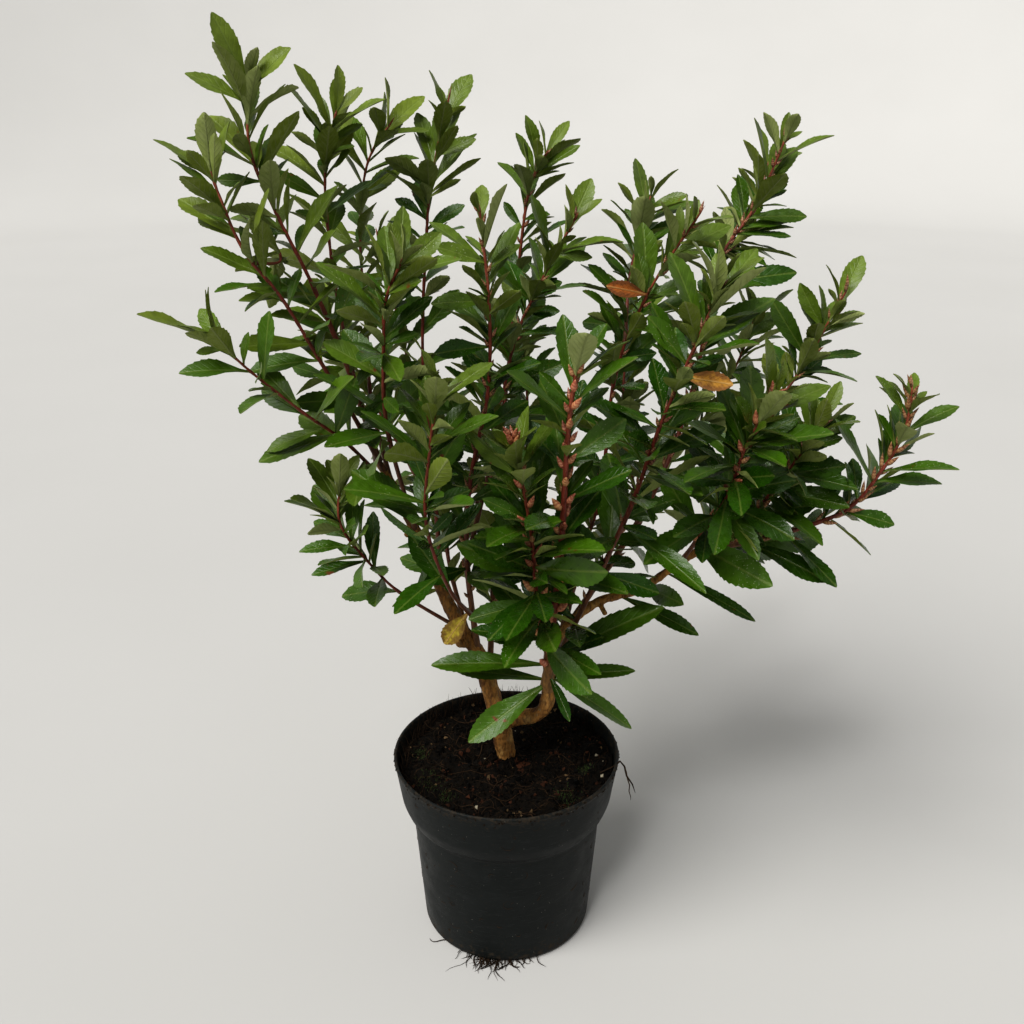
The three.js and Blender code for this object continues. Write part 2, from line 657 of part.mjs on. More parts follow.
function makeSoil(cut) {
  const level = POT_HEIGHT - SOIL_DEPTH_BELOW_RIM;
  const wall = potProfile().inside.slice(1, -1).reverse().map(([r, z]) => [r - SEAT_GAP, z + SEAT_GAP]);
  const taper = POT_COLLAR_TAPER / POT_COLLAR_HEIGHT;
  const topRadius = POT_RIM_RADIUS - POT_WALL - SEAT_GAP - taper * (SOIL_DEPTH_BELOW_RIM + SOIL_BANK + 2 * SOIL_LUMP);
  const rings = [1, 0.8, 0.6, 0.4, 0.2, 0].map((share) => [topRadius * share, level]);
  const geometry = turned([[0, POT_FLOOR + SEAT_GAP], ...wall, ...rings]);
  const place = geometry.attributes.position;
  for (let i = 0; i < place.count; i++) {
    if (place.getZ(i) > level - 1e-3) place.setZ(i, soilTop(place.getX(i), place.getY(i)));
  }
  return solidOf(geometry).subtract(cut);
}

function standardMaterial(color, roughness) {
  return new THREE.MeshStandardMaterial({ color, roughness, metalness: 0 });
}

const plastic = standardMaterial(0x2b2f30, 0.55);
const peat = standardMaterial(0x1d1511, 0.95);
const bark = standardMaterial(0x8a5a2e, 0.8);
const foliage = standardMaterial(0x2c4a1a, 0.5);

const plant = new THREE.Group();
const add = (name, body, material) => {
  const mesh = new THREE.Mesh(geometryOf(body), material);
  mesh.name = name;
  plant.add(mesh);
};

const stems = {};
for (const [name, row] of Object.entries(STEMS)) stems[name] = new Stem(name, row, stems[row.parent]);
const woody = Object.values(stems).filter((stem) => stem.row.wood || !stem.row.parent);
const shoots = Object.values(stems).filter((stem) => !woody.includes(stem));

const wood = woody.map((stem) => stem.tube()).reduce((a, b) => a.add(b));
const woodSleeve = woody.map((stem) => stem.tube(SEAT_GAP)).reduce((a, b) => a.add(b));
add("pot", makePot(), plastic);
add("soil", makeSoil(woodSleeve), peat);
add("trunk", wood, bark);

const room = new Room(Object.values(stems));
const baseLeaves = growBaseLeaves(stems.front_stem, room);
const sleeves = [woodSleeve];
for (const [index, stem] of shoots.entries()) {
  const leaves = growLeaves(stem, index, room);
  const budded = stem.row.buds ? leaves.filter((_, j) => j % stem.row.buds === 0) : [];
  const own = stem === stems.front_stem ? [...leaves, ...baseLeaves] : leaves;
  const pieces = [
    ...own.map(({ leaf, t }) => leaf.solid(stem, t)),
    ...budded.map(({ t, turn }) => bud(stem, t + BUD_RISE / stem.length, turn + BUD_TURN)),
  ];
  const whole = pieces.reduce((a, b) => a.add(b), stem.tube());
  const cut = sleeves.reduce((body, sleeve) => body.subtract(sleeve), whole);
  add(stem.name, largest(largest(cut).asOriginal().simplify(SHORT_EDGE)), foliage);
  sleeves.push(stem.tube(SEAT_GAP));
}

export default plant;
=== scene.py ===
"""A potted bog myrtle, dressed round its solids.

A young many-stemmed shrub stands in a round collared nursery pot of peat. Sizes are millimetres with
the origin at the centre of the pot's base and +Z up, and a mesh is written in metres. Stems and the
leaves of the solids follow the same rule as there, and further leaves and buds fill the crown.
"""

import json
import logging
import math
from dataclasses import dataclass, field
from enum import Enum

import bpy
import numpy as np
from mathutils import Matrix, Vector

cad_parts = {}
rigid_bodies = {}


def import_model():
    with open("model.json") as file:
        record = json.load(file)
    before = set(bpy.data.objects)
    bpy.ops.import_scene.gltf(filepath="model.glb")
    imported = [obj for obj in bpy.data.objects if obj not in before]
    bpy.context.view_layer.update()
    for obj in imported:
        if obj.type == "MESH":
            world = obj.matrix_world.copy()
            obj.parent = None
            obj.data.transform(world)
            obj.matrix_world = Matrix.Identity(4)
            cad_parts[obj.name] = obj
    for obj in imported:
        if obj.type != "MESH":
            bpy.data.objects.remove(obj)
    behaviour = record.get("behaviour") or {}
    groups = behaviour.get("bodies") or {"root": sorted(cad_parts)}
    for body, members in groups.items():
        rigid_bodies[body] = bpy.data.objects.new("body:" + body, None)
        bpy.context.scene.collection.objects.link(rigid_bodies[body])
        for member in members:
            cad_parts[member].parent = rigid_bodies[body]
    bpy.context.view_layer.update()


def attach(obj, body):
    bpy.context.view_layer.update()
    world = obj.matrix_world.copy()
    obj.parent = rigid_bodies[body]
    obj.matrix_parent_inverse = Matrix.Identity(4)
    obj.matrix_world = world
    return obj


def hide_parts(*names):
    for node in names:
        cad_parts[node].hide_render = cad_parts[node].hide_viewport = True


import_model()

logging.basicConfig(level=logging.INFO, format="%(message)s")
log = logging.getLogger("potted_bog_myrtle")

# Metres in a millimetre, and the angle in degrees from which an edge is shaded as sharp
MM = 0.001
SHARP_FROM = 66.0
X_AXIS, Y_AXIS = np.eye(3)[:2]

Array = np.ndarray
Colour = Point = tuple[float, float, float]
Socket = bpy.types.NodeSocket
Material = bpy.types.Material
Object = bpy.types.Object

# Clearances that the leaves of the solids keep, the same as there
LEAF_CLEARANCE = 1.5
STEM_CLEARANCE = 1.3
BUD_REACH = 3.0
BEAD_STEP = 4.0
ROOT_ZONE = 6.0
ROOT_PANELS = 2
RIM_INNER_REACH = 67.0
LOWEST_OVER_SOIL = 127.0
LOWEST_OUTSIDE = 134.0
SAMPLE_ROWS = np.array([0.2, 0.32, 0.44, 0.56, 0.68, 0.8, 0.9])
PANEL_ROWS = np.array([0.1, 0.22, 0.4, 0.68, 0.88])

# Where leaves sit, as in the solids
LIGHT = np.array([0.0, -0.55, 1.0])
LIGHT_PULL = 1.1
LEAF_FULLNESS = 1.55
SIDE_VEINS = 9.0
LEAF_WIDTH_SHARE = 0.37
PETIOLE_HALF_WIDTH = 0.8
GOLDEN_TURN = 137.5
STEM_TURN = 77.0
TURN_LUCK = 40.0
LOW_SPREAD = 64.0
TOP_SPREAD = 26.0
SPREAD_LUCK = 16.0
YOUNG_FROM = 0.93
YOUNG_SHARE = 0.72
TIP_CROWDING = 1.3
LAST_LEAF = 0.96
BASE_LEAF_ARCH = 0.25
TRIES = (0, 18, -18, 36, -36, 54, -54, 75, -75, 100, -100, 130, -130, 165)
SHRINK_PER_TRY = 0.02


class Side(Enum):
    """The finishes of a leafy shoot, in the order of its material slots."""

    STEM = 0
    UPPER = 1
    UNDER = 2
    BUD = 3
    WITHERED = 4


def unit(v: Array) -> Array:
    """Scales vectors along the last axis to length one."""
    return v / np.maximum(np.linalg.norm(v, axis=-1, keepdims=True), 1e-12)


def mix(a: float, b: float, t: float) -> float:
    """Returns the value a share t of the way from a to b."""
    return a + (b - a) * t


def progress(value: float, start: float, end: float) -> float:
    """Returns how far a value has come from start to end, from 0 to 1."""
    return min(1.0, max(0.0, (value - start) / (end - start)))


def random_stream(seed: int):
    """Yields a repeatable stream of numbers from 0 to 1, the same one as in the solids.

    Args:
        seed: Any whole number. Each seed gives its own stream.

    Yields:
        state / 2^32, where each state is the last one times 1664525 plus 1013904223.
    """
    state = (seed * 2654435 + 12345) % 4294967296
    for skipped in range(2):
        state = (state * 1664525 + 1013904223) % 4294967296
    while True:
        state = (state * 1664525 + 1013904223) % 4294967296
        yield state / 4294967296


def value_noise(points: Array, size: float, seed: int = 0) -> Array:
    """Smooth noise from -1 to 1 over space.

    A number is hashed for each corner of a lattice of cubes, and a point takes the mean of its
    cube's corners, weighted by the smooth step of its place between them.

    Args:
        points: Points along the last axis, in millimetres.
        size: The side of a cube, in millimetres.
        seed: Picks another lattice of numbers.

    Returns:
        One value for each point.
    """
    p = np.asarray(points, float) / size
    cell = np.floor(p).astype(np.int64)
    w = p - cell
    w = w * w * (3 - 2 * w)
    total = np.zeros(p.shape[:-1])
    for corner in np.ndindex(2, 2, 2):
        c = cell + np.array(corner)
        h = (c[..., 0] * 374761393 + c[..., 1] * 668265263 + c[..., 2] * 2147483647 + seed * 974634777)
        h = (h ^ (h >> 13)) * 1274126177 & 0x7FFFFFFF
        value = ((h ^ (h >> 16)) & 0xFFFF) / 32767.5 - 1
        share = np.where(np.array(corner) == 1, w, 1 - w).prod(axis=-1)
        total += value * share
    return total


class Curve:
    """A smooth line through points, each stretch a cubic whose ends lean half way to the next points."""

    def __init__(self, points: list[Point]) -> None:
        """Keeps the points, with one more beyond each end in line with the last two.

        Args:
            points: The points the line runs through.
        """
        p = np.array(points, float)
        self.points = np.vstack([2 * p[0] - p[1], p, 2 * p[-1] - p[-2]])
        marks = self.at(np.linspace(0, 1, 201))
        self.length = float(np.linalg.norm(np.diff(marks, axis=0), axis=1).sum())

    def at(self, t: Array) -> Array:
        """Returns the points at shares t of the line.

        With a and b the ends of a stretch, z and c the points before and after, and w the share of
        the stretch: a + w (b-z)/2 + w^2 (3(b-a) - (b-z) - (c-a)/2) + w^3 (2(a-b) + (b-z)/2 + (c-a)/2).

        Args:
            t: Shares from 0 to 1.
        """
        spans = len(self.points) - 3
        place = np.asarray(t, float) * spans
        i = np.minimum(place.astype(int), spans - 1)
        w = (place - i)[..., None]
        z, a, b, c = (self.points[i + k] for k in range(4))
        lean, leave = 0.5 * (b - z), 0.5 * (c - a)
        return a + lean * w + (3 * (b - a) - 2 * lean - leave) * w**2 + (2 * (a - b) + lean + leave) * w**3

    def along(self, t: Array) -> Array:
        """Returns the direction at shares t, from two points a hair apart."""
        t = np.asarray(t, float)
        return unit(self.at(np.minimum(t + 1e-4, 1)) - self.at(np.maximum(t - 1e-4, 0)))


@dataclass
class Stem:
    """A stem or limb: it stands on its parent at a share of the parent's length.

    foot and tip are radii. It carries its leaves from the share "bare" of its length on, and their
    length falls from the first number of "size" to the second. The buds on it stand further apart
    the larger "buds" is, and with 0 there are none.
    """

    name: str
    parent: str | None
    at: float
    points: list[Point]
    foot: float
    tip: float = 0.8
    leaves: int = 12
    bare: float = 0.2
    size: tuple[float, float] = (46.0, 36.0)
    buds: int = 0
    line: Curve | None = field(default=None, repr=False)

    def grow_from(self, stems: dict[str, "Stem"]) -> None:
        """Works out the centre line, once the parent has its own."""
        foot = [tuple(stems[self.parent].line.at(self.at))] if self.parent else []
        self.line = Curve(foot + self.points)

    def radius(self, t: Array) -> Array:
        """Returns the radius at shares t, which falls evenly from foot to tip."""
        return self.foot + (self.tip - self.foot) * np.asarray(t, float)

    def frame_at(self, t: Array) -> tuple[Array, Array, Array, Array]:
        """Returns the place, the direction and two cross directions at shares t."""
        along = self.line.along(t)
        side = unit(np.cross(along, np.array([0.0, 1.0, 0.0])))
        return self.line.at(t), along, side, unit(np.cross(along, side))


# The old wood, which carries no leaves of its own, and every stem, parents first
WOOD = ("trunk", "left_limb", "right_limb", "right_low_limb")

STEMS = {
    stem.name: stem
    for stem in (
        Stem("trunk", None, 0, [(0, 3, 76), (0, 3, 120), (-2, 3, 134), (-5, 3, 150)], foot=6, tip=7,
            leaves=0),
        Stem("left_limb", "trunk", 1, [(-10, 4, 172), (-18, 7, 198), (-33, 8, 225), (-51, 6, 273),
            (-66, 4, 311), (-77, 2, 334)], foot=6.2, tip=2.3, leaves=0),
        Stem("right_limb", "trunk", 0.97, [(10, -3, 157), (20, -8, 162), (26, -10, 172),
            (27, -10, 186)], foot=5, tip=4.2, leaves=0),
        Stem("right_low_limb", "right_limb", 1, [(35, 5, 214), (57, 12, 233), (87, 14, 243),
            (110, 14, 261), (123, 12, 271)], foot=3.4, tip=2.2, leaves=0),
        Stem("left_tall", "left_limb", 1, [(-90, 0, 386), (-107, -8, 440), (-124, -13, 482),
            (-136, -10, 515), (-135, -5, 549)], foot=2.1, leaves=13, bare=0.12, size=(44, 38)),
        Stem("left_outer", "left_limb", 0.95, [(-86, -10, 361), (-104, -23, 403), (-120, -33, 439),
            (-138, -38, 467), (-150, -36, 500), (-152, -33, 508)], foot=1.7, leaves=13, bare=0.14,
            size=(44, 34)),
        Stem("left_twig", "left_outer", 0.62, [(-123, -15, 457), (-132, -3, 472)], foot=1.1, tip=0.7,
            leaves=5, bare=0.3, size=(36, 32)),
        Stem("left_middle", "left_tall", 0.06, [(-92, 20, 384), (-101, 33, 430), (-105, 38, 477),
            (-103, 38, 506), (-95, 33, 532)], foot=1.6, bare=0.16, size=(44, 36)),
        Stem("left_inner", "left_limb", 0.89, [(-84, 38, 361), (-88, 64, 406), (-91, 77, 453),
            (-85, 79, 498), (-67, 77, 526)], foot=1.6, bare=0.12, size=(44, 36)),
        Stem("left_front", "left_limb", 0.72, [(-66, -38, 367), (-64, -56, 418), (-61, -61, 445),
            (-51, -64, 467)], foot=1.6, size=(46, 34)),
        Stem("left_low", "left_limb", 0.82, [(-89, -26, 353), (-111, -49, 381), (-136, -64, 410),
            (-151, -69, 430)], foot=1.5, bare=0.14, size=(44, 38)),
        Stem("left_lowest", "left_limb", 0.45, [(-65, -10, 251), (-82, -28, 281), (-96, -36, 309),
            (-95, -33, 334)], foot=1.4, bare=0.16, size=(46, 34)),
        Stem("crown_left", "left_limb", 0.3, [(-41, 38, 237), (-48, 61, 300), (-54, 74, 378),
            (-50, 79, 453), (-45, 77, 492), (-32, 72, 544)], foot=2.1, leaves=15),
        Stem("crown_back_left", "left_limb", 0.41, [(-40, 67, 239), (-45, 97, 279), (-62, 118, 337),
            (-74, 125, 392), (-87, 128, 454)], foot=1.9, leaves=13),
        Stem("crown_middle", "left_limb", 0.34, [(-24, -8, 272), (-21, -15, 327), (-10, -20, 384),
            (-9, -23, 436), (-14, -20, 488)], foot=2.2, tip=0.9, leaves=13, bare=0.16, size=(50, 34),
            buds=3),
        Stem("crown_back", "left_limb", 0.2, [(-8, 51, 246), (-3, 79, 321), (5, 95, 406), (14, 95, 479),
            (26, 92, 506)], foot=2.2, leaves=15, bare=0.18, size=(50, 36), buds=3),
        Stem("crown_right", "crown_middle", 0.2, [(-8, 33, 330), (4, 46, 392), (20, 46, 431),
            (43, 44, 475)], foot=1.7, leaves=13, bare=0.14, size=(48, 36), buds=4),
        Stem("crown_front", "crown_middle", 0.08, [(-33, -51, 275), (-43, -74, 325), (-39, -82, 372),
            (-33, -84, 407)], foot=1.6, size=(52, 38)),
        Stem("front_stem", "right_limb", 0.97, [(27, -28, 228), (31, -51, 286), (32, -74, 345),
            (33, -87, 388), (37, -95, 426)], foot=3.8, tip=1.2, leaves=13, bare=0.3, size=(56, 36),
            buds=2),
        Stem("front_twin", "front_stem", 0.12, [(18, -49, 270), (14, -69, 319), (4, -82, 378)],
            foot=2.0, tip=0.9, bare=0.3, size=(58, 40), buds=3),
        Stem("right_back", "right_limb", 0.93, [(48, 28, 256), (61, 38, 302), (67, 36, 376),
            (83, 20, 431), (110, 0, 484)], foot=2.4, leaves=14, bare=0.22, size=(54, 38), buds=3),
        Stem("right_dark", "right_back", 0.68, [(76, 54, 437), (88, 64, 483)], foot=1.3, leaves=8,
            bare=0.18, size=(44, 36)),
        Stem("right_front", "right_low_limb", 0.05, [(69, -36, 311), (84, -56, 375), (100, -64, 424),
            (111, -67, 456)], foot=2.0, leaves=13, bare=0.22, size=(56, 38), buds=3),
        Stem("right_tall", "right_low_limb", 0.16, [(96, 64, 284), (127, 97, 358), (137, 110, 428),
            (162, 113, 471), (180, 110, 521)], foot=2.4, tip=0.9, leaves=17, size=(52, 34), buds=2),
        Stem("right_tall_side", "right_tall", 0.64, [(158, 131, 449), (175, 143, 496)], foot=1.2,
            leaves=8, size=(44, 32)),
        Stem("right_outer", "right_low_limb", 0.93, [(144, 31, 286), (166, 46, 344), (188, 51, 383),
            (207, 44, 430)], foot=1.9, leaves=13, bare=0.14, size=(50, 34), buds=3),
        Stem("right_lowest", "right_low_limb", 1, [(160, -3, 286), (200, -20, 310), (217, -28, 339),
            (226, -31, 365), (227, -31, 390)], foot=2.1, leaves=15, bare=0.08, size=(54, 28), buds=2),
        Stem("right_middle", "right_lowest", 0.12, [(157, -3, 310), (170, -15, 340), (183, -20, 367)],
            foot=1.5, leaves=11, size=(50, 34), buds=3),
        Stem("right_near", "right_low_limb", 0.82, [(127, -31, 321), (131, -54, 360), (143, -61, 394)],
            foot=1.6, bare=0.22, size=(54, 38), buds=3),
        Stem("back_left", "crown_back_left", 0.27, [(-81, 123, 311), (-110, 133, 358),
            (-127, 128, 406)], foot=1.4, bare=0.18),
        Stem("back_middle", "crown_back", 0.2, [(12, 108, 291), (14, 136, 344), (4, 148, 405)],
            foot=1.6),
        Stem("back_right", "right_tall", 0.18, [(87, 108, 291), (83, 138, 343), (92, 151, 399)],
            foot=1.6, size=(48, 36), buds=3),
        Stem("back_low", "right_tall", 0.3, [(137, 118, 322), (164, 143, 358), (177, 151, 395)],
            foot=1.4, leaves=11, size=(46, 34)),
    )
}


@dataclass
class Leaf:
    """A leaf's blade: a centre line that arches away from its upper side, and a width along it."""

    foot: Array
    direction: Array
    upper: Array
    length: float
    width: float
    arch: float
    share: float = 0.0
    luck: tuple[float, float] = (0.5, 0.5)
    withered: bool = False

    def __post_init__(self) -> None:
        """Makes the three directions square to each other."""
        self.direction = unit(self.direction)
        self.side = unit(np.cross(self.direction, self.upper))
        self.upper = np.cross(self.side, self.direction)

    def half_width(self, u: Array) -> Array:
        """Returns width/2 times sin(pi u^fullness), but no less than the petiole in the lower half."""
        full = self.width / 2 * np.sin(np.pi * np.minimum(1, u) ** LEAF_FULLNESS)
        return np.maximum(full, np.where(u < 0.5, PETIOLE_HALF_WIDTH, 0.0))

    def point(self, u: Array, v: Array) -> Array:
        """Returns foot + direction L u - upper arch L u^2 / 2 + side v half-width."""
        u, v = np.broadcast_arrays(np.asarray(u, float), np.asarray(v, float))
        rise = -self.arch * self.length * u * u / 2
        out = self.foot + self.direction * (self.length * u)[..., None] + self.upper * rise[..., None]
        return out + self.side * (self.half_width(u) * v)[..., None]


def panel_distances(points: Array, panels: Array, normals: Array) -> Array:
    """Measures how far points lie from triangles.

    Where a point is over a triangle, the distance is to its plane, and otherwise to its nearest edge.

    Args:
        points: The points, n by 3.
        panels: The triangles' corners, m by 3 by 3.
        normals: The triangles' normals, m by 3.

    Returns:
        The distances, n by m.
    """
    edges = np.roll(panels, -1, axis=1) - panels
    reach = points[:, None, None, :] - panels[None]
    turned = np.einsum("nmek,mk->nme", np.cross(edges[None], reach), normals)
    plane = np.abs(np.einsum("nmk,mk->nm", reach[:, :, 0], normals))
    along = np.einsum("nmek,mek->nme", reach, edges)
    w = along / np.maximum(np.einsum("mek,mek->me", edges, edges), 1e-9)
    nearest = np.linalg.norm(reach - np.clip(w, 0, 1)[..., None] * edges, axis=-1).min(axis=-1)
    return np.where((turned >= 0).all(axis=-1), plane, nearest)


class Room:
    """What is placed already, and whether a new leaf has space beside it."""

    def __init__(self, stems: list[Stem]) -> None:
        """Strings beads along every stem, each with the distance that leaves keep from it."""
        beads = []
        for number, stem in enumerate(stems):
            spare = STEM_CLEARANCE + (BUD_REACH if stem.buds else 0.0)
            t = np.linspace(0, 1, math.ceil(stem.line.length / BEAD_STEP) + 1)
            radius = stem.radius(t)
            at = stem.line.at(t)
            own = np.full(len(t), number)
            beads.append(np.column_stack([at, own, radius + STEM_CLEARANCE, radius + spare]))
        self.beads = np.vstack(beads)
        self.numbers = {stem.name: number for number, stem in enumerate(stems)}
        self.samples: list[Array] = []
        self.panels: list[Array] = []
        self.normals: list[Array] = []
        self.centres: list[Array] = []
        self.reaches: list[float] = []

    @staticmethod
    def outline(leaf: Leaf) -> tuple[Array, Array, Array]:
        """Returns sample points on a leaf, and the triangles that stand for it with their normals."""
        samples = leaf.point(SAMPLE_ROWS[:, None], np.array([-1.0, 0.0, 1.0])).reshape(-1, 3)
        tip = leaf.point(1.0, 0.0)
        edge = leaf.point(PANEL_ROWS[:, None], np.array([-1.0, 1.0]))
        a, b, c, d = edge[:-1, 0], edge[:-1, 1], edge[1:, 0], edge[1:, 1]
        pairs = np.stack([np.stack([a, b, c], axis=1), np.stack([b, d, c], axis=1)], axis=1)
        panels = np.vstack([pairs.reshape(-1, 3, 3), [[edge[-1, 0], edge[-1, 1], tip]]])
        normals = unit(np.cross(panels[:, 1] - panels[:, 0], panels[:, 2] - panels[:, 0]))
        return np.vstack([samples, tip]), panels, normals

    def clear_of_pot(self, samples: Array) -> bool:
        """True if no sample lies in the soil or hangs to the pot's rim."""
        inside = np.hypot(samples[:, 0], samples[:, 1]) < RIM_INNER_REACH
        return bool((samples[:, 2] > np.where(inside, LOWEST_OVER_SOIL, LOWEST_OUTSIDE)).all())

    def clear_of_stems(self, leaf: Leaf, shape: tuple, own: int, reach: float) -> bool:
        """True if the leaf keeps its distance from every stem, apart from its own near its foot."""
        centre = leaf.point(0.55, 0.0)
        beads = self.beads
        near = np.linalg.norm(beads[:, :3] - centre, axis=1) <= reach + beads[:, 5]
        beads = beads[near]
        if not len(beads):
            return True
        is_own = beads[:, 3] == own
        at_root = np.linalg.norm(beads[:, :3] - leaf.foot, axis=1) < ROOT_ZONE
        far = np.where(is_own, beads[:, 4], np.where(at_root, beads[:, 4] - STEM_CLEARANCE, beads[:, 5]))
        distance = panel_distances(beads[:, :3], shape[1], shape[2])
        distance[is_own, :ROOT_PANELS] = np.inf
        return bool((distance >= far[:, None]).all())

    def clear_of_leaves(self, leaf: Leaf, shape: tuple, reach: float, clearance: float) -> bool:
        """True if the leaf keeps its clearance from every leaf placed so far."""
        if not self.centres:
            return True
        centre = leaf.point(0.55, 0.0)
        gaps = np.linalg.norm(np.array(self.centres) - centre, axis=1)
        near = np.nonzero(gaps <= reach + np.array(self.reaches))[0]
        if not len(near):
            return True
        panels = np.vstack([self.panels[k] for k in near])
        normals = np.vstack([self.normals[k] for k in near])
        samples = np.vstack([self.samples[k] for k in near])
        if (panel_distances(shape[0], panels, normals) < clearance).any():
            return False
        return bool((panel_distances(samples, shape[1], shape[2]) >= clearance).all())

    def takes(self, leaf: Leaf, own: str, clearance: float = LEAF_CLEARANCE) -> bool:
        """Places a leaf if it has space.

        Args:
            leaf: The leaf to place.
            own: The name of the stem it grows on.
            clearance: The least distance to another leaf, in millimetres.

        Returns:
            True if it was placed.
        """
        shape = self.outline(leaf)
        reach = leaf.length * 0.6 + 2
        if not (
            self.clear_of_pot(shape[0])
            and self.clear_of_stems(leaf, shape, self.numbers[own], reach)
            and self.clear_of_leaves(leaf, shape, reach, clearance)
        ):
            return False
        for kept, new in zip((self.samples, self.panels, self.normals), shape):
            kept.append(new)
        self.centres.append(leaf.point(0.55, 0.0))
        self.reaches.append(reach)
        return True


# Further leaves: where they start on a lush stem, where the crown is airy and where it is lush, where
# they end on a stem, and how far each layer is turned. Then the stems that keep their side to the
# camera free, those that keep a share of their foot free, and those with few, with the share of them
LUSH_BARE = 0.07
AIRY_X, LUSH_X = -75.0, -30.0
LAST_FILL = 0.985
FILL_TURN = 60
BARE_FACED = ("front_stem", "right_tall", "right_lowest")
CLEAR_FOOT = {"crown_front": 0.42, "left_lowest": 0.42, "crown_middle": 0.15}
SPARSE = {"left_low": 0.3, "left_outer": 0.7, "left_twig": 0.6, "left_tall": 0.75}

# The limb with short leafy spurs, and how the large leaves that are placed one by one arch and how
# far they stay from others
SPUR_LIMB = "right_low_limb"
LARGE_LEAF_ARCH = 0.3
LARGE_LEAF_GAP = 0.6


@dataclass(frozen=True)
class PlacedLeaf:
    """A large leaf placed one by one, from a share of a stem's length to its tip."""

    stem: str
    at: float
    tip: Point
    width: float
    face: Point
    withered: bool = False


LARGE_LEAVES = tuple(PlacedLeaf(*row) for row in (
    ("right_front", 0.64, (117, -75, 404), 12, (0.1, -1, 0.3), True),
    ("right_back", 0.80, (60, 6, 439), 11, (0.1, -1, 0.3), True),
    ("crown_front", 0.05, (-40, -14, 217), 15, (-0.3, -1, 0.3), True),
    ("front_twin", 0.10, (-19, -36, 243), 13, (-0.1, -0.6, 1)),
    ("front_twin", 0.46, (-12, -98, 323), 14, (-0.3, -0.8, 0.6)),
    ("front_twin", 0.34, (-8, -84, 262), 14, (-0.2, -1, 0.5)),
    ("front_stem", 0.06, (41, -40, 180), 9, (0.6, -1, 0.2)),
    ("front_stem", 0.18, (50, -72, 234), 13, (0.3, -1, 0.4)),
    ("right_lowest", 0.14, (194, -26, 272), 17, (0, -0.6, 1)),
    ("right_low_limb", 0.72, (158, -10, 236), 11, (0.3, -0.8, 0.8)),
    ("right_low_limb", 0.50, (122, -10, 226), 13, (0.2, -0.7, 0.8)),
    ("right_low_limb", 0.62, (98, -40, 262), 15, (-0.6, -0.8, 0.6)),
    ("right_front", 0.24, (112, -76, 290), 16, (0.3, -0.8, 0.8)),
    ("right_tall", 0.76, (194, 107, 467), 12, (-0.3, -0.8, 0.7)),
    ("right_tall", 0.57, (190, 103, 432), 17, (-0.2, -0.9, 0.6)),
    ("right_outer", 0.86, (178, 45, 431), 12, (-0.5, -1, 0.2)),
    ("right_outer", 0.76, (162, 43, 421), 14, (-0.4, -1, 0.2)),
    ("crown_middle", 0.88, (-36, -30, 468), 11, (0.2, -1, 0.5)),
    ("crown_middle", 0.80, (-39, -33, 439), 12, (0.3, -0.8, 0.7)),
    ("crown_middle", 0.70, (-38, -34, 412), 13, (0.2, -0.7, 0.8)),
    ("left_tall", 0.985, (-147, -16, 581), 13, (0.3, -1, 0.3)),
    ("left_tall", 0.97, (-113, -14, 566), 14, (-0.5, -1, 0.5)),
    ("left_tall", 0.93, (-164, -12, 556), 14, (0.2, -0.6, 1)),
))

BASE_LEAVES = tuple(PlacedLeaf("front_stem", *row) for row in (
    (0.02, (-25, -34, 160), 20, (-0.3, -0.8, 0.6)),
    (0.03, (-32, -8, 200), 16, (0, -0.4, 1)),
    (0.1, (-46, -24, 214), 17, (0, -0.5, 1)),
    (0.2, (-36, -44, 270), 17, (0, -0.6, 1)),
    (0.12, (90, -34, 258), 21, (-0.3, -0.6, 1)),
    (0.04, (80, -20, 206), 13, (0.1, -0.5, 1)),
    (0.05, (84, -22, 164), 15, (0.3, -0.6, 1)),
    (0.16, (52, -62, 264), 15, (0.6, -0.7, 0.6)),
))


@dataclass(frozen=True)
class Layer:
    """Further leaves: how many for each of the solids' own, their least distance, and their size."""

    share: float
    gap: float
    size: float


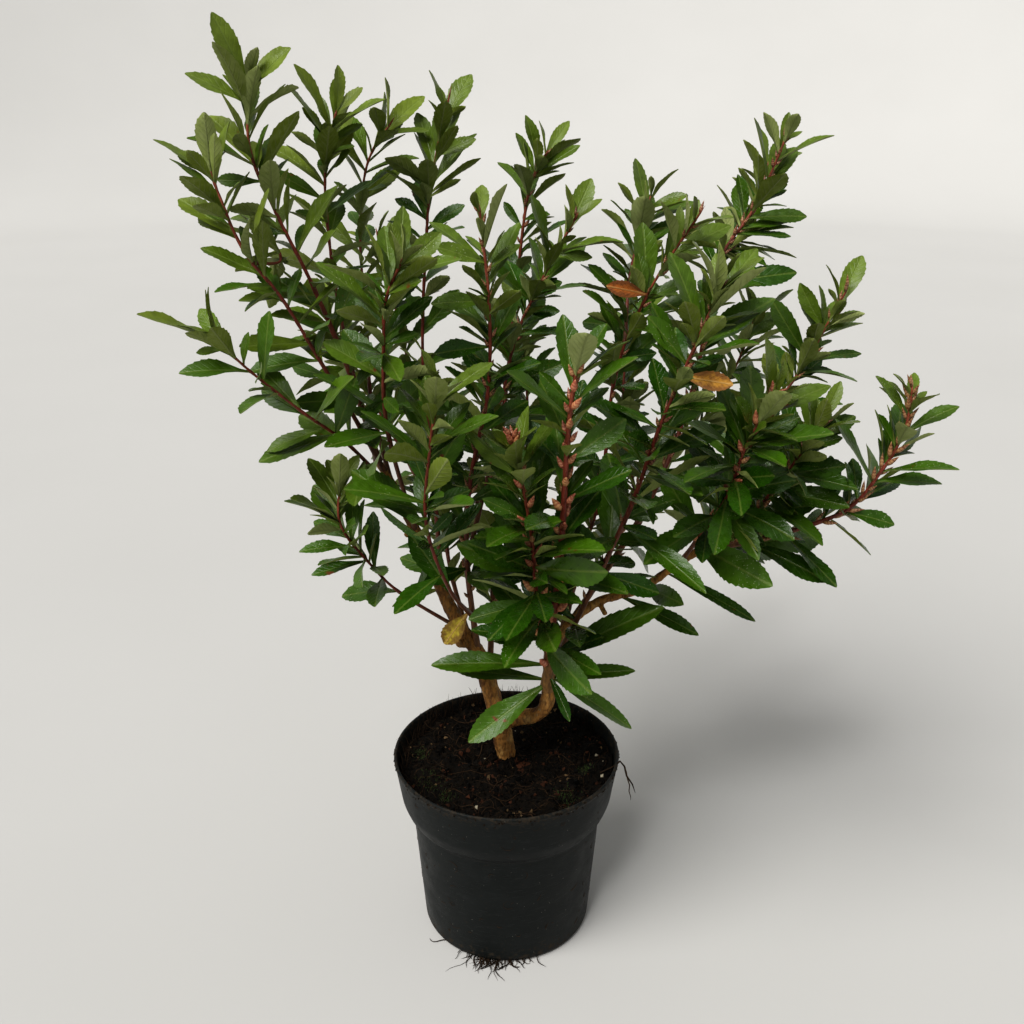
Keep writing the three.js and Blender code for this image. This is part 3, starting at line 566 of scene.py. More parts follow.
@dataclass
class Foliage:
    """Grows the leaves of every shoot, first those of the solids and then the ones that fill the crown."""

    stems: dict[str, Stem]
    room: Room = field(init=False)
    leaves: dict[str, list[Leaf]] = field(init=False)
    layers: tuple[Layer, ...] = (
        Layer(1.15, 0.6, 0.95), Layer(1.25, 0.4, 0.74), Layer(1.1, 0.25, 0.55),
    )

    def __post_init__(self) -> None:
        """Starts with empty shoots."""
        self.room = Room(list(self.stems.values()))
        self.leaves = {name: [] for name in self.stems if name not in WOOD}
        self.spurs: list[Leaf] = []

    @staticmethod
    def leaf_on(stem: Stem, t: float, turn: float, luck: dict[str, float], shrink: float,
                wild: float) -> Leaf:
        """Shapes a leaf on a stem.

        It spreads from the stem by an angle that falls with t^2, and its upper side faces the stem's
        tip and the light.

        Args:
            stem: The stem it grows on.
            t: Its share of the stem's length.
            turn: Its angle about the stem, in degrees.
            luck: Numbers from 0 to 1 for spread, size, width and arch.
            shrink: What its length is multiplied by.
            wild: How much freer than in the solids it hangs, from 0 to 1.

        Returns:
            The leaf, not yet placed.
        """
        at, along, side, front = stem.frame_at(t)
        angle = math.radians(turn)
        outward = side * math.cos(angle) + front * math.sin(angle)
        free = (luck["spread"] - 0.5) * (1 + 1.6 * wild)
        spread = math.radians(mix(LOW_SPREAD, TOP_SPREAD, t * t) + SPREAD_LUCK * free)
        direction = along * math.cos(spread) + outward * math.sin(spread)
        upper = along * math.sin(spread) - outward * math.cos(spread)
        upper = upper + LIGHT * LIGHT_PULL * (1 - 0.6 * wild)
        roll = wild * 1.7 * (luck["arch"] + luck["width"] - 1)
        upper = upper * math.cos(roll) + np.cross(direction, upper) * math.sin(roll)
        young = YOUNG_SHARE if t > YOUNG_FROM else 1.0
        own = mix(0.84, 0.74, wild) + mix(0.32, 0.5, wild) * luck["size"]
        length = mix(*stem.size, t) * own * young * shrink
        width = length * LEAF_WIDTH_SHARE * (0.85 + 0.3 * luck["width"])
        arch = mix(0.1, 0.5, luck["arch"])
        return Leaf(at, direction, upper, length, width, arch, t, (luck["size"], luck["turn"]))

    def place(self, stem: Stem, t: float, turn: float, luck: dict[str, float], size: float, gap: float,
              wild: float) -> None:
        """Tries a leaf at ever other turns, and keeps the first that has space."""
        for k, offset in enumerate(TRIES):
            leaf = self.leaf_on(stem, t, turn + offset, luck, size * (1 - SHRINK_PER_TRY * k), wild)
            if self.room.takes(leaf, stem.name, gap):
                self.leaves.get(stem.name, self.spurs).append(leaf)
                return

    @staticmethod
    def draw(seed: int) -> dict[str, float]:
        """Returns one leaf's luck."""
        stream = random_stream(seed)
        return {key: next(stream) for key in ("shift", "turn", "spread", "size", "width", "arch")}

    def place_by_tip(self, row: PlacedLeaf, arch: float, gap: float, hue: float) -> None:
        """Places one large leaf, if it has space.

        Args:
            row: The leaf.
            arch: How much it arches.
            gap: The least distance to another leaf, in millimetres.
            hue: Its hue luck.
        """
        foot = self.stems[row.stem].line.at(row.at)
        reach = np.array(row.tip, float) - foot
        length = float(np.linalg.norm(reach))
        luck = (hue, (row.at * 37) % 1)
        leaf = Leaf(foot, reach, np.array(row.face, float), length, row.width, arch, row.at, luck=luck)
        leaf.withered = row.withered
        if self.room.takes(leaf, row.stem, gap):
            self.leaves.get(row.stem, self.spurs).append(leaf)

    def grow(self) -> None:
        """Grows every leaf: the solids' own in the order of the shoots, and then the further ones."""
        for row in BASE_LEAVES:
            self.place_by_tip(row, BASE_LEAF_ARCH, LEAF_CLEARANCE, 1.0)
        for number, name in enumerate(self.leaves):
            stem = self.stems[name]
            for j in range(stem.leaves):
                luck = self.draw(1000 * number + j)
                share = (j + 0.5 * luck["shift"]) / (stem.leaves - 0.5)
                t = mix(stem.bare, LAST_LEAF, 1 - (1 - share) ** TIP_CROWDING)
                turn = j * GOLDEN_TURN + TURN_LUCK * (luck["turn"] - 0.5) + STEM_TURN * number
                self.place(stem, t, turn, luck, 1.0, LEAF_CLEARANCE, 0.0)
        log.info("leaves of the solids: %d", sum(map(len, self.leaves.values())))
        for row in LARGE_LEAVES:
            self.place_by_tip(row, LARGE_LEAF_ARCH, LARGE_LEAF_GAP, (row.at * 53) % 1)
        for layer, rule in enumerate(self.layers, start=1):
            for number, name in enumerate(self.leaves):
                self.fill(number, self.stems[name], layer, rule)
        log.info("leaves in all: %d", sum(map(len, self.leaves.values())) + len(self.spurs))

    @staticmethod
    def lushness(stem: Stem) -> float:
        """Returns from 0 for the airy left of the crown to 1 for its dense middle and right."""
        return progress(float(stem.line.at(0.5)[0]), AIRY_X, LUSH_X)

    def fill(self, number: int, stem: Stem, layer: int, rule: Layer) -> None:
        """Adds a layer of further leaves to a shoot, turned away from those that it has.

        Args:
            number: The shoot's number.
            stem: Its stem.
            layer: The layer's number, which picks its luck.
            rule: The layer.
        """
        lush = self.lushness(stem)
        count = round(stem.leaves * rule.share * mix(1.05, 1.65, lush) * SPARSE.get(stem.name, 1.0))
        start = mix(stem.bare, min(stem.bare, LUSH_BARE), lush)
        for j in range(count):
            luck = self.draw(100000 * layer + 1000 * number + j)
            run = (j + luck["shift"]) / count
            t = mix(start, LAST_FILL, 1 - (1 - run) ** TIP_CROWDING)
            turn = j * GOLDEN_TURN + TURN_LUCK * (luck["turn"] - 0.5) + STEM_TURN * number
            turn += FILL_TURN * layer
            bare_side = stem.name in BARE_FACED and math.sin(math.radians(turn)) > 0.1
            if bare_side or t < CLEAR_FOOT.get(stem.name, 0.0):
                continue
            self.place(stem, t, turn, luck, rule.size * mix(1.0, 0.72, lush * t * t), rule.gap, 1.0)


@dataclass
class Patch:
    """Part of a surface: points, faces of four or three, and what its material reads at each point.

    uv is the share along the shape and the share round or across it, and tone is (hue luck, value
    luck, age), each from 0 to 1.
    """

    points: Array
    quads: Array
    tris: Array
    uv: Array
    tone: Array
    quad_finish: Array
    tri_finish: Array


def grid(rows: int, columns: int, closed: bool = False) -> Array:
    """Returns the quads of a grid of points, numbered row by row.

    Args:
        rows: How many rows of points.
        columns: How many points in a row.
        closed: True if each row's last point is joined to its first.
    """
    i = np.arange(rows - 1)[:, None] * columns
    j = np.arange(columns if closed else columns - 1)
    k = (j + 1) % columns
    return np.stack([i + j, i + k, i + columns + k, i + columns + j], axis=-1).reshape(-1, 4)


def around(r: Array, a: Array, z: Array) -> Array:
    """Returns the points at radius r, angle a and height z."""
    return np.stack(np.broadcast_arrays(r * np.cos(a), r * np.sin(a), z), axis=-1)


def hold_in(points: Array, limit: float | Array) -> None:
    """Moves points that lie further than the limit from the axis in to it, in place."""
    reach = np.maximum(np.hypot(points[..., 0], points[..., 1]), 1e-6)
    points[..., :2] *= np.minimum(1, limit / reach)[..., None]


def copies(faces: Array, count: int, size: int) -> Array:
    """Returns the faces of a small shape of "size" points for each of its copies."""
    return (faces[None] + size * np.arange(count)[:, None, None]).reshape(-1, faces.shape[1])


# The tone of surfaces without luck of their own
PLAIN_TONE = (0.5, 0.5, 0)


@dataclass
class Surface:
    """Gathers patches and writes them as one mesh."""

    patches: list[Patch] = field(default_factory=list)

    def add(self, points: Array, quads: Array, tris: Array, uv: Array,
            tone: tuple[float, float, float] | Array, quad_finish: int | Array = 0,
            tri_finish: int | Array = 0) -> None:
        """Adds a patch; a single tone or finish holds for all of it."""
        tone = np.broadcast_to(np.asarray(tone, float), (len(points), 3))
        quads, tris = np.asarray(quads, int).reshape(-1, 4), np.asarray(tris, int).reshape(-1, 3)
        self.patches.append(Patch(
            points, quads, tris, uv, tone,
            np.broadcast_to(quad_finish, len(quads)), np.broadcast_to(tri_finish, len(tris)),
        ))

    def to_object(self, name: str, materials: list[Material]) -> Object:
        """Writes the patches as a smooth mesh in metres, with its UV map and its "tone" attribute.

        Args:
            name: The piece's name.
            materials: One for each number that the patches give as their finish.

        Returns:
            The object, at the origin, linked to the scene.
        """
        starts = np.cumsum([0] + [len(p.points) for p in self.patches])
        points = np.vstack([p.points for p in self.patches]) * MM
        quads = np.vstack([p.quads + start for p, start in zip(self.patches, starts)])
        tris = np.vstack([p.tris + start for p, start in zip(self.patches, starts)])
        finish = [p.quad_finish for p in self.patches] + [p.tri_finish for p in self.patches]
        finish = np.concatenate(finish)
        uv = np.vstack([p.uv for p in self.patches])
        tone = np.vstack([p.tone for p in self.patches])
        mesh = bpy.data.meshes.new(name)
        mesh.from_pydata(points, [], quads.tolist() + tris.tolist())
        corners = np.concatenate([quads.ravel(), tris.ravel()])
        mesh.uv_layers.new(name="uv").data.foreach_set("uv", uv[corners].astype(np.float32).ravel())
        colour = np.column_stack([tone, np.ones(len(tone))]).astype(np.float32)
        mesh.color_attributes.new("tone", "FLOAT_COLOR", "POINT").data.foreach_set("color", colour.ravel())
        mesh.polygons.foreach_set("material_index", finish.astype(np.int32))
        mesh.polygons.foreach_set("use_smooth", np.full(len(finish), True))
        for material in materials:
            mesh.materials.append(material)
        mesh.update()
        mesh.set_sharp_from_angle(angle=math.radians(SHARP_FROM))
        obj = bpy.data.objects.new(name, mesh)
        bpy.context.scene.collection.objects.link(obj)
        return obj


Shape = tuple[Array, Array, Array, Array]


def closed_rings(rings: Array, foot: Array, tip: Array) -> Shape:
    """Joins rings of points from the first to the last, and closes both ends on a point.

    Args:
        rings: The rings, rows by sections by 3, each turning anticlockwise seen from the next.
        foot: The point that closes the first.
        tip: The point that closes the last.

    Returns:
        Points, quads, triangles and uv, with u from 0 to 1 from foot to tip and v round a ring.
    """
    rows, sections = rings.shape[:2]
    points = np.vstack([rings.reshape(-1, 3), foot, tip])
    j = np.arange(sections)
    k = (j + 1) % sections
    last = (rows - 1) * sections
    low = np.column_stack([np.full(sections, rows * sections), k, j])
    high = np.column_stack([np.full(sections, rows * sections + 1), last + j, last + k])
    run = np.linspace(0, 1, rows + 2)
    uv = np.column_stack([np.repeat(run[1:-1], sections), np.tile(j / sections, rows)])
    uv = np.vstack([uv, [[0, 0.5], [1, 0.5]]])
    return points, grid(rows, sections, closed=True), np.vstack([low, high]), uv


def sweep(centres: Array, sides: Array, fronts: Array, radii: Array, sections: int) -> Shape:
    """Carries a ring along a path and closes both ends on points.

    Ring i has the points centre + radius (side cos a + front sin a), with a from 0 to a full turn.

    Args:
        centres: The path, n by 3, whose first and last points are the closed ends.
        sides: First cross direction, at each point or for all.
        fronts: Second cross direction, at each point or for all.
        radii: Radius at each point, n, or n by sections.
        sections: Points in a ring.

    Returns:
        Points, quads, triangles and uv, with u from 0 to 1 along the path and v round it.
    """
    a = np.arange(sections) * 2 * np.pi / sections
    radii = np.broadcast_to(np.asarray(radii, float).reshape(len(centres), -1), (len(centres), sections))
    sides, fronts = (np.broadcast_to(v, centres.shape)[:, None] for v in (sides, fronts))
    across = sides * np.cos(a)[:, None] + fronts * np.sin(a)[:, None]
    rings = centres[1:-1, None] + across[1:-1] * radii[1:-1, :, None]
    return closed_rings(rings, centres[0], centres[-1])


@dataclass(frozen=True)
class BladeCut:
    """The rows of a blade: shares of its length, and how far its edge stands out there.

    A tooth is two rows close together, the first wide and the second narrow, so it points forwards.
    """

    rows: tuple[tuple[float, float], ...]

    @staticmethod
    def with_teeth(plain: tuple[float, ...], teeth: tuple[float, ...], depth: float) -> "BladeCut":
        """Adds a wide and a narrow row for each tooth, deeper towards the tip, to the plain rows."""
        rows = [(u, 1.0) for u in plain]
        for u in teeth:
            out = depth * (0.6 + 0.9 * u * u)
            rows += [(u, 1 + out), (u + 0.013, 1 - 0.8 * out)]
        return BladeCut(tuple(sorted(rows)))


# The cuts of large and of small leaves, and the length in millimetres from which a leaf is large
LARGE_CUT = BladeCut.with_teeth(
    (0.0, 0.12, 0.28, 0.40, 0.985), (0.47, 0.54, 0.61, 0.68, 0.75, 0.81, 0.87, 0.92), 0.048
)
SMALL_CUT = BladeCut.with_teeth((0.0, 0.16, 0.36, 0.985), (0.50, 0.61, 0.71, 0.80, 0.89), 0.055)
LARGE_BLADE = 48.0


@dataclass(frozen=True)
class BudKind:
    """How a stem's buds look: their size, girth, redness, lightness, share of the usual number, and
    how many crowd at the tip."""

    size: float
    girth: float
    red: float
    light: float
    more: float
    at_tip: int


PINK_BUDS = BudKind(1.0, 1.0, 1.0, 1.0, 1.0, 6)
TAN_BUDS = BudKind(0.95, 0.7, 0.4, 0.45, 1.4, 1)
PLUM_BUDS = BudKind(0.68, 0.85, 0.9, 0.22, 1.0, 0)
BUD_KINDS = {
    "front_stem": PINK_BUDS, "front_twin": PINK_BUDS, "right_near": PINK_BUDS,
    "right_lowest": TAN_BUDS, "right_middle": TAN_BUDS, "right_outer": TAN_BUDS,
}


@dataclass
class LeafyShoot:
    """One shoot: its red-brown stem, its leaves and its winter buds, in one piece."""

    stem: Stem
    leaves: list[Leaf]
    number: int
    sections: int = 8
    ring_step: float = 4.0
    collar_gain: float = 0.45
    collar_reach: float = 3.5
    slim: float = 0.66
    knuckle: float = 0.28
    knuckle_reach: float = 1.6
    blade_depth: float = 0.32
    rib_depth: float = 1.2
    fold: float = 0.22
    wave: float = 0.06
    twist: float = 14.0
    petiole: float = 0.55
    blunt: float = 0.68
    widest: float = 1.6
    blade_gain: float = 0.86
    pale_x: tuple[float, float] = (-20.0, -110.0)
    pale_z: tuple[float, float] = (330.0, 500.0)
    pale_shares: tuple[float, float, float] = (0.45, 0.32, 0.17)
    ageing: tuple[float, float] = (0.7, 1.0)
    bud_length: float = 13.2
    bud_radius: float = 2.2
    bud_lean: float = 0.5
    bud_step: float = 2.7
    bud_run: tuple[float, float] = (0.1, 0.995)

    def add_stem(self, surface: Surface) -> None:
        """Adds the stem: a swept ring, thicker at its collar and at each leaf.

        The radius is the stem's own, plus a share of it that falls away from the foot as exp(-s/reach),
        plus a knuckle exp(-(s - s_leaf)^2 / reach^2) at each leaf.
        """
        stem = self.stem
        count = max(6, round(stem.line.length / self.ring_step))
        t = np.concatenate([[0], np.linspace(0, 0.985, count), [1]])
        at, along, side, front = stem.frame_at(t)
        s = t * stem.line.length
        radius = stem.radius(t) * mix(1.0, self.slim, np.minimum(1, t / 0.4))
        radius = radius * (1 + self.collar_gain * np.exp(-s / self.collar_reach / stem.foot * 1.5))
        places = np.array([leaf.share for leaf in self.leaves]) * stem.line.length
        bumps = np.exp(-((s[:, None] - places) / self.knuckle_reach) ** 2).max(axis=1, initial=0)
        radius = radius + self.knuckle * bumps
        lumps = 1 + 0.05 * value_noise(at, 3.0, self.number)
        centres = at.copy()
        centres[-1] += along[-1] * stem.tip * 0.8
        points, quads, tris, uv = sweep(centres, side, front, radius * lumps, self.sections)
        share = np.concatenate([np.repeat(t[1:-1], self.sections), [0, 1]])
        luck = (self.number * 0.37) % 1
        thin = min(1, 1.6 / stem.foot)
        tone = np.column_stack([share, np.full(len(share), luck), np.full(len(share), thin)])
        surface.add(points, quads, tris, uv, tone, Side.STEM.value, Side.STEM.value)

    def half_width(self, leaf: Leaf, u: Array) -> Array:
        """Returns gain width/2 sin(pi u^widest)^blunt, but no less than the petiole in the lower half."""
        swell = np.sin(np.pi * np.minimum(1, u) ** self.widest) ** self.blunt
        full = self.blade_gain * leaf.width / 2 * swell
        return np.maximum(full, np.where(u < 0.5, self.petiole, 0.0))

    def paleness(self, leaf: Leaf) -> float:
        """Returns how pale a leaf is, from 0 to 1: paler to the left and the top, and by luck."""
        x, _, z = leaf.foot
        by_luck, by_x, by_z = self.pale_shares
        left, high = progress(x, *self.pale_x), progress(z, *self.pale_z)
        return min(1.0, by_luck * leaf.luck[0] + by_x * left + by_z * high)

    def add_blade(self, surface: Surface, leaf: Leaf) -> None:
        """Adds a leaf: an upper and a lower sheet of five columns each, which meet at the edge.

        A point of the upper sheet is foot + direction L u + side' v h + upper z. h is the half-width
        with the teeth, side' turns with u, and z = fold h |v|^1.3 - arch L u^2 / 2 plus a wave of
        the edge, less a dip on the midrib. The lower sheet lies depth sqrt(1 - v^2) under it, with a rib.
        """
        cut = LARGE_CUT if leaf.length >= LARGE_BLADE else SMALL_CUT
        u, out = np.array(cut.rows).T
        v = np.array([-1.0, -0.5, 0.0, 0.5, 1.0])
        u, v = u[:, None], v[None, :]
        tooth = 1 + (out[:, None] - 1) * (np.abs(v) > 0.9)
        half = self.half_width(leaf, u) * tooth
        luck, other = leaf.luck
        turn = np.radians(self.twist * (other - 0.5) * 2) * u
        side = leaf.side * np.cos(turn)[..., None] + leaf.upper * np.sin(turn)[..., None]
        curl = 2 * np.pi * (1.3 * u + luck)
        wave = self.wave * leaf.width * np.sin(curl + 2 * v) * v**2 * np.sin(np.pi * u)
        rise = self.fold * (0.4 + 1.2 * other) * half * np.abs(v) ** 1.3 + wave
        rise = rise - leaf.arch * leaf.length * u**2 / 2 - 0.25 * (v == 0) * np.sin(np.pi * u**0.5)
        upper = leaf.foot + leaf.direction * (leaf.length * u)[..., None] + side * (half * v)[..., None]
        upper = upper + leaf.upper * rise[..., None]
        rows = len(u)
        depth = self.blade_depth * (1 + (v == 0) * self.rib_depth * (1 - u)) * (1 - v**2) ** 0.5
        under = upper - leaf.upper * depth[..., None]
        tip = leaf.point(1.0, 0.0)
        points = np.vstack([upper.reshape(-1, 3), under[:, 1:4].reshape(-1, 3), tip])
        over = np.arange(rows * 5).reshape(rows, 5)
        below = np.hstack([over[:, :1], rows * 5 + np.arange(rows * 3).reshape(rows, 3), over[:, 4:]])
        top = grid(rows, 5)
        low = below.ravel()[top[:, [0, 3, 2, 1]]]
        end = rows * 8
        tris_up = [[over[-1, k], over[-1, k + 1], end] for k in range(4)]
        tris_low = [[below[-1, k + 1], below[-1, k], end] for k in range(4)]
        tris_foot = [[rows * 5, 1, 0], [4, 3, rows * 5 + 2]]
        foot = [[below[0, k], below[0, k + 1], k + 1, k] for k in (1, 2)]
        uv = np.stack(np.broadcast_arrays(u, (v + 1) / 2), axis=-1)
        uv = np.vstack([uv.reshape(-1, 2), uv[:, 1:4].reshape(-1, 2), [[1.0, 0.5]]])
        age = progress(leaf.share, *self.ageing) if self.stem.name != "front_stem" else 0.0
        face, back = (Side.WITHERED,) * 2 if leaf.withered else (Side.UPPER, Side.UNDER)
        surface.add(
            points, np.vstack([top, low, foot]), np.array(tris_up + tris_low + tris_foot), uv,
            (self.paleness(leaf), other, age),
            np.repeat([face.value, back.value], [len(top), len(low) + 2]),
            np.repeat([face.value, back.value], [4, 6]),
        )

    def add_bud(self, surface: Surface, t: float, turn: float, luck: tuple[float, float]) -> None:
        """Adds a winter bud: a spindle with rings of scales.

        Its radius is R sin(pi s^0.7)^0.9, and each of two rings of scales stands out and steps back in.

        Args:
            surface: Where it goes.
            t: Its share of the stem's length.
            turn: Its angle about the stem, in degrees.
            luck: Two numbers from 0 to 1, for its hue and its size.
        """
        stem = self.stem
        kind = BUD_KINDS.get(stem.name, PLUM_BUDS)
        size = mix(0.78, 1.2, luck[1]) * mix(1.0, 0.72, t) * kind.size
        at, along, side, front = stem.frame_at(t)
        angle = math.radians(turn)
        outward = side * math.cos(angle) + front * math.sin(angle)
        lean = unit(along * math.cos(self.bud_lean) + outward * math.sin(self.bud_lean))
        across = unit(np.cross(lean, outward))
        over = np.cross(lean, across)
        s = np.array([0, 0.05, 0.24, 0.42, 0.46, 0.66, 0.70, 0.88, 1.0])
        step = np.array([1, 1, 1.0, 1.08, 0.96, 1.08, 0.95, 1.0, 1])
        radius = self.bud_radius * kind.girth * size * np.sin(np.pi * s**0.7) ** 0.9 * step
        radius[1] = 0.7 * size
        foot = at + outward * stem.radius(t) * 0.5
        centres = foot + lean * (s * self.bud_length * size)[:, None]
        points, quads, tris, uv = sweep(centres, across, over, np.maximum(radius, 0.05), 6)
        tone = (luck[0] * kind.red, mix(0.35, 1.0, luck[1]) * kind.light, t * kind.red)
        surface.add(points, quads, tris, uv, tone, Side.BUD.value, Side.BUD.value)

    def add_buds(self, surface: Surface) -> None:
        """Strings buds along the stem by the golden angle, and crowds some at its tip."""
        stem = self.stem
        low, high = self.bud_run
        kind = BUD_KINDS.get(stem.name, PLUM_BUDS)
        count = round(stem.line.length * (high - low) / (self.bud_step * stem.buds) * kind.more)
        stream = random_stream(900000 + self.number)
        for j in range(count):
            t = mix(low, high, (j + 0.8 * next(stream)) / count)
            self.add_bud(surface, t, j * GOLDEN_TURN + 50 * next(stream), (next(stream), next(stream)))
        for j in range(kind.at_tip):
            luck = (0.6 + 0.4 * next(stream), 0.8 * next(stream))
            self.add_bud(surface, 1 - 0.007 * j, GOLDEN_TURN * j, luck)

    def build(self, materials: list[Material]) -> Object:
        """Builds the shoot and hangs it on the root body; a leafy shoot hides its stem's own part.

        Args:
            materials: One for each Side.

        Returns:
            The piece.
        """
        surface = Surface()
        is_shoot = self.stem.name not in WOOD
        if is_shoot:
            self.add_stem(surface)
        for leaf in self.leaves:
            self.add_blade(surface, leaf)
        if self.stem.buds:
            self.add_buds(surface)
        piece = surface.to_object(f"{self.stem.name}_{'shoot' if is_shoot else 'spurs'}", materials)
        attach(piece, "root")
        if is_shoot:
            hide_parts(self.stem.name)
        return piece


def settled(obj: Object) -> None:
    """Bakes an object's modifiers into its mesh."""
    graph = bpy.context.evaluated_depsgraph_get()
    mesh = bpy.data.meshes.new_from_object(obj.evaluated_get(graph))
    old = obj.data
    obj.modifiers.clear()
    obj.data = mesh
    bpy.data.meshes.remove(old)


def vertex_arrays(mesh: bpy.types.Mesh) -> tuple[Array, Array]:
    """Returns a mesh's points in millimetres and its vertex normals."""
    points = np.empty(len(mesh.vertices) * 3)
    normals = np.empty(len(mesh.vertices) * 3)
    mesh.vertices.foreach_get("co", points)
    mesh.vertex_normals.foreach_get("vector", normals)
    return points.reshape(-1, 3) / MM, normals.reshape(-1, 3)


@dataclass
class Trunk:
    """The old wood: the trunk and its three limbs, grown together, with knots and cut stubs."""

    stems: dict[str, Stem]
    sections: int = 20
    ring_step: float = 3.0
    voxel: float = 0.75
    blend_rounds: int = 9
    ridge: float = 0.35
    flake: float = 0.22
    pore: float = 0.1
    stubs: tuple[tuple[Point, Point, float], ...] = (
        ((-24, 7, 207), (-31, -1, 211), 2.8),
        ((-5, 3, 146), (4, 12, 160), 3.6),
        ((-54, 6, 282), (-62, -2, 288), 1.7),
        ((60, 12, 234), (64, 6, 228), 1.6),
    )

    def limb(self, surface: Surface, stem: Stem) -> None:
        """Adds a limb: a ring carried along its line, swelled and dented by noise."""
        count = round(stem.line.length / self.ring_step)
        t = np.concatenate([[0], np.linspace(0, 1, count), [1]])
        at, along, side, front = stem.frame_at(t)
        radius = stem.radius(t)[:, None]
        a = np.arange(self.sections) * 2 * np.pi / self.sections
        places = at[:, None] + side[:, None] * np.cos(a)[:, None] * 6
        places = places + front[:, None] * np.sin(a)[:, None] * 6
        radius = radius * (1 + 0.1 * value_noise(places, 11.0, 3) + 0.05 * value_noise(places, 5.0, 4))
        at = at.copy()
        at[0] -= along[0] * stem.foot * 0.5
        at[-1] += along[-1] * stem.tip * 0.6
        surface.add(*sweep(at, side, front, radius, self.sections), PLAIN_TONE)

    def stub(self, surface: Surface, foot: Point, tip: Point, radius: float) -> None:
        """Adds a cut stub, a short ring carried from foot to tip, a little thicker at its foot."""
        foot, tip = np.array(foot, float), np.array(tip, float)
        along = unit(tip - foot)
        side = unit(np.cross(along, [0.0, 1.0, 0.3]))
        s = np.array([0, 0, 0.3, 0.6, 0.9, 1.0, 1.0])
        centres = foot + (tip - foot) * s[:, None]
        shape = np.array([1.4, 1.4, 1.1, 1.0, 1.05, 0.9, 0.2]) * radius
        surface.add(*sweep(centres, side, np.cross(along, side), shape, 12), PLAIN_TONE)

    def build(self, material: Material) -> Object:
        """Joins the limbs into one skin by a voxel remesh, and raises the bark along its normals.

        The bark is ridge noise stretched up the wood, plus finer flakes and pores.

        Args:
            material: The bark.

        Returns:
            The piece; the part "trunk" is hidden in its place.
        """
        surface = Surface()
        for name in WOOD:
            self.limb(surface, self.stems[name])
        for foot, tip, radius in self.stubs:
            self.stub(surface, foot, tip, radius)
        piece = surface.to_object("old_wood", [material])
        remesh = piece.modifiers.new("skin", "REMESH")
        remesh.mode = "VOXEL"
        remesh.voxel_size = self.voxel * MM
        remesh.use_smooth_shade = True
        blend = piece.modifiers.new("blend", "SMOOTH")
        blend.factor = 0.5
        blend.iterations = self.blend_rounds
        settled(piece)
        points, normals = vertex_arrays(piece.data)
        stretched = points * [1.0, 1.0, 0.28]
        rise = self.ridge * value_noise(stretched, 2.2, 11) + self.flake * value_noise(points, 1.7, 12)
        rise += self.pore * value_noise(points, 0.8, 13)
        points += normals * (rise + 0.15)[:, None]
        piece.data.vertices.foreach_set("co", (points * MM).ravel())
        piece.data.update()
        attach(piece, "root")
        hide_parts("trunk")
        return piece


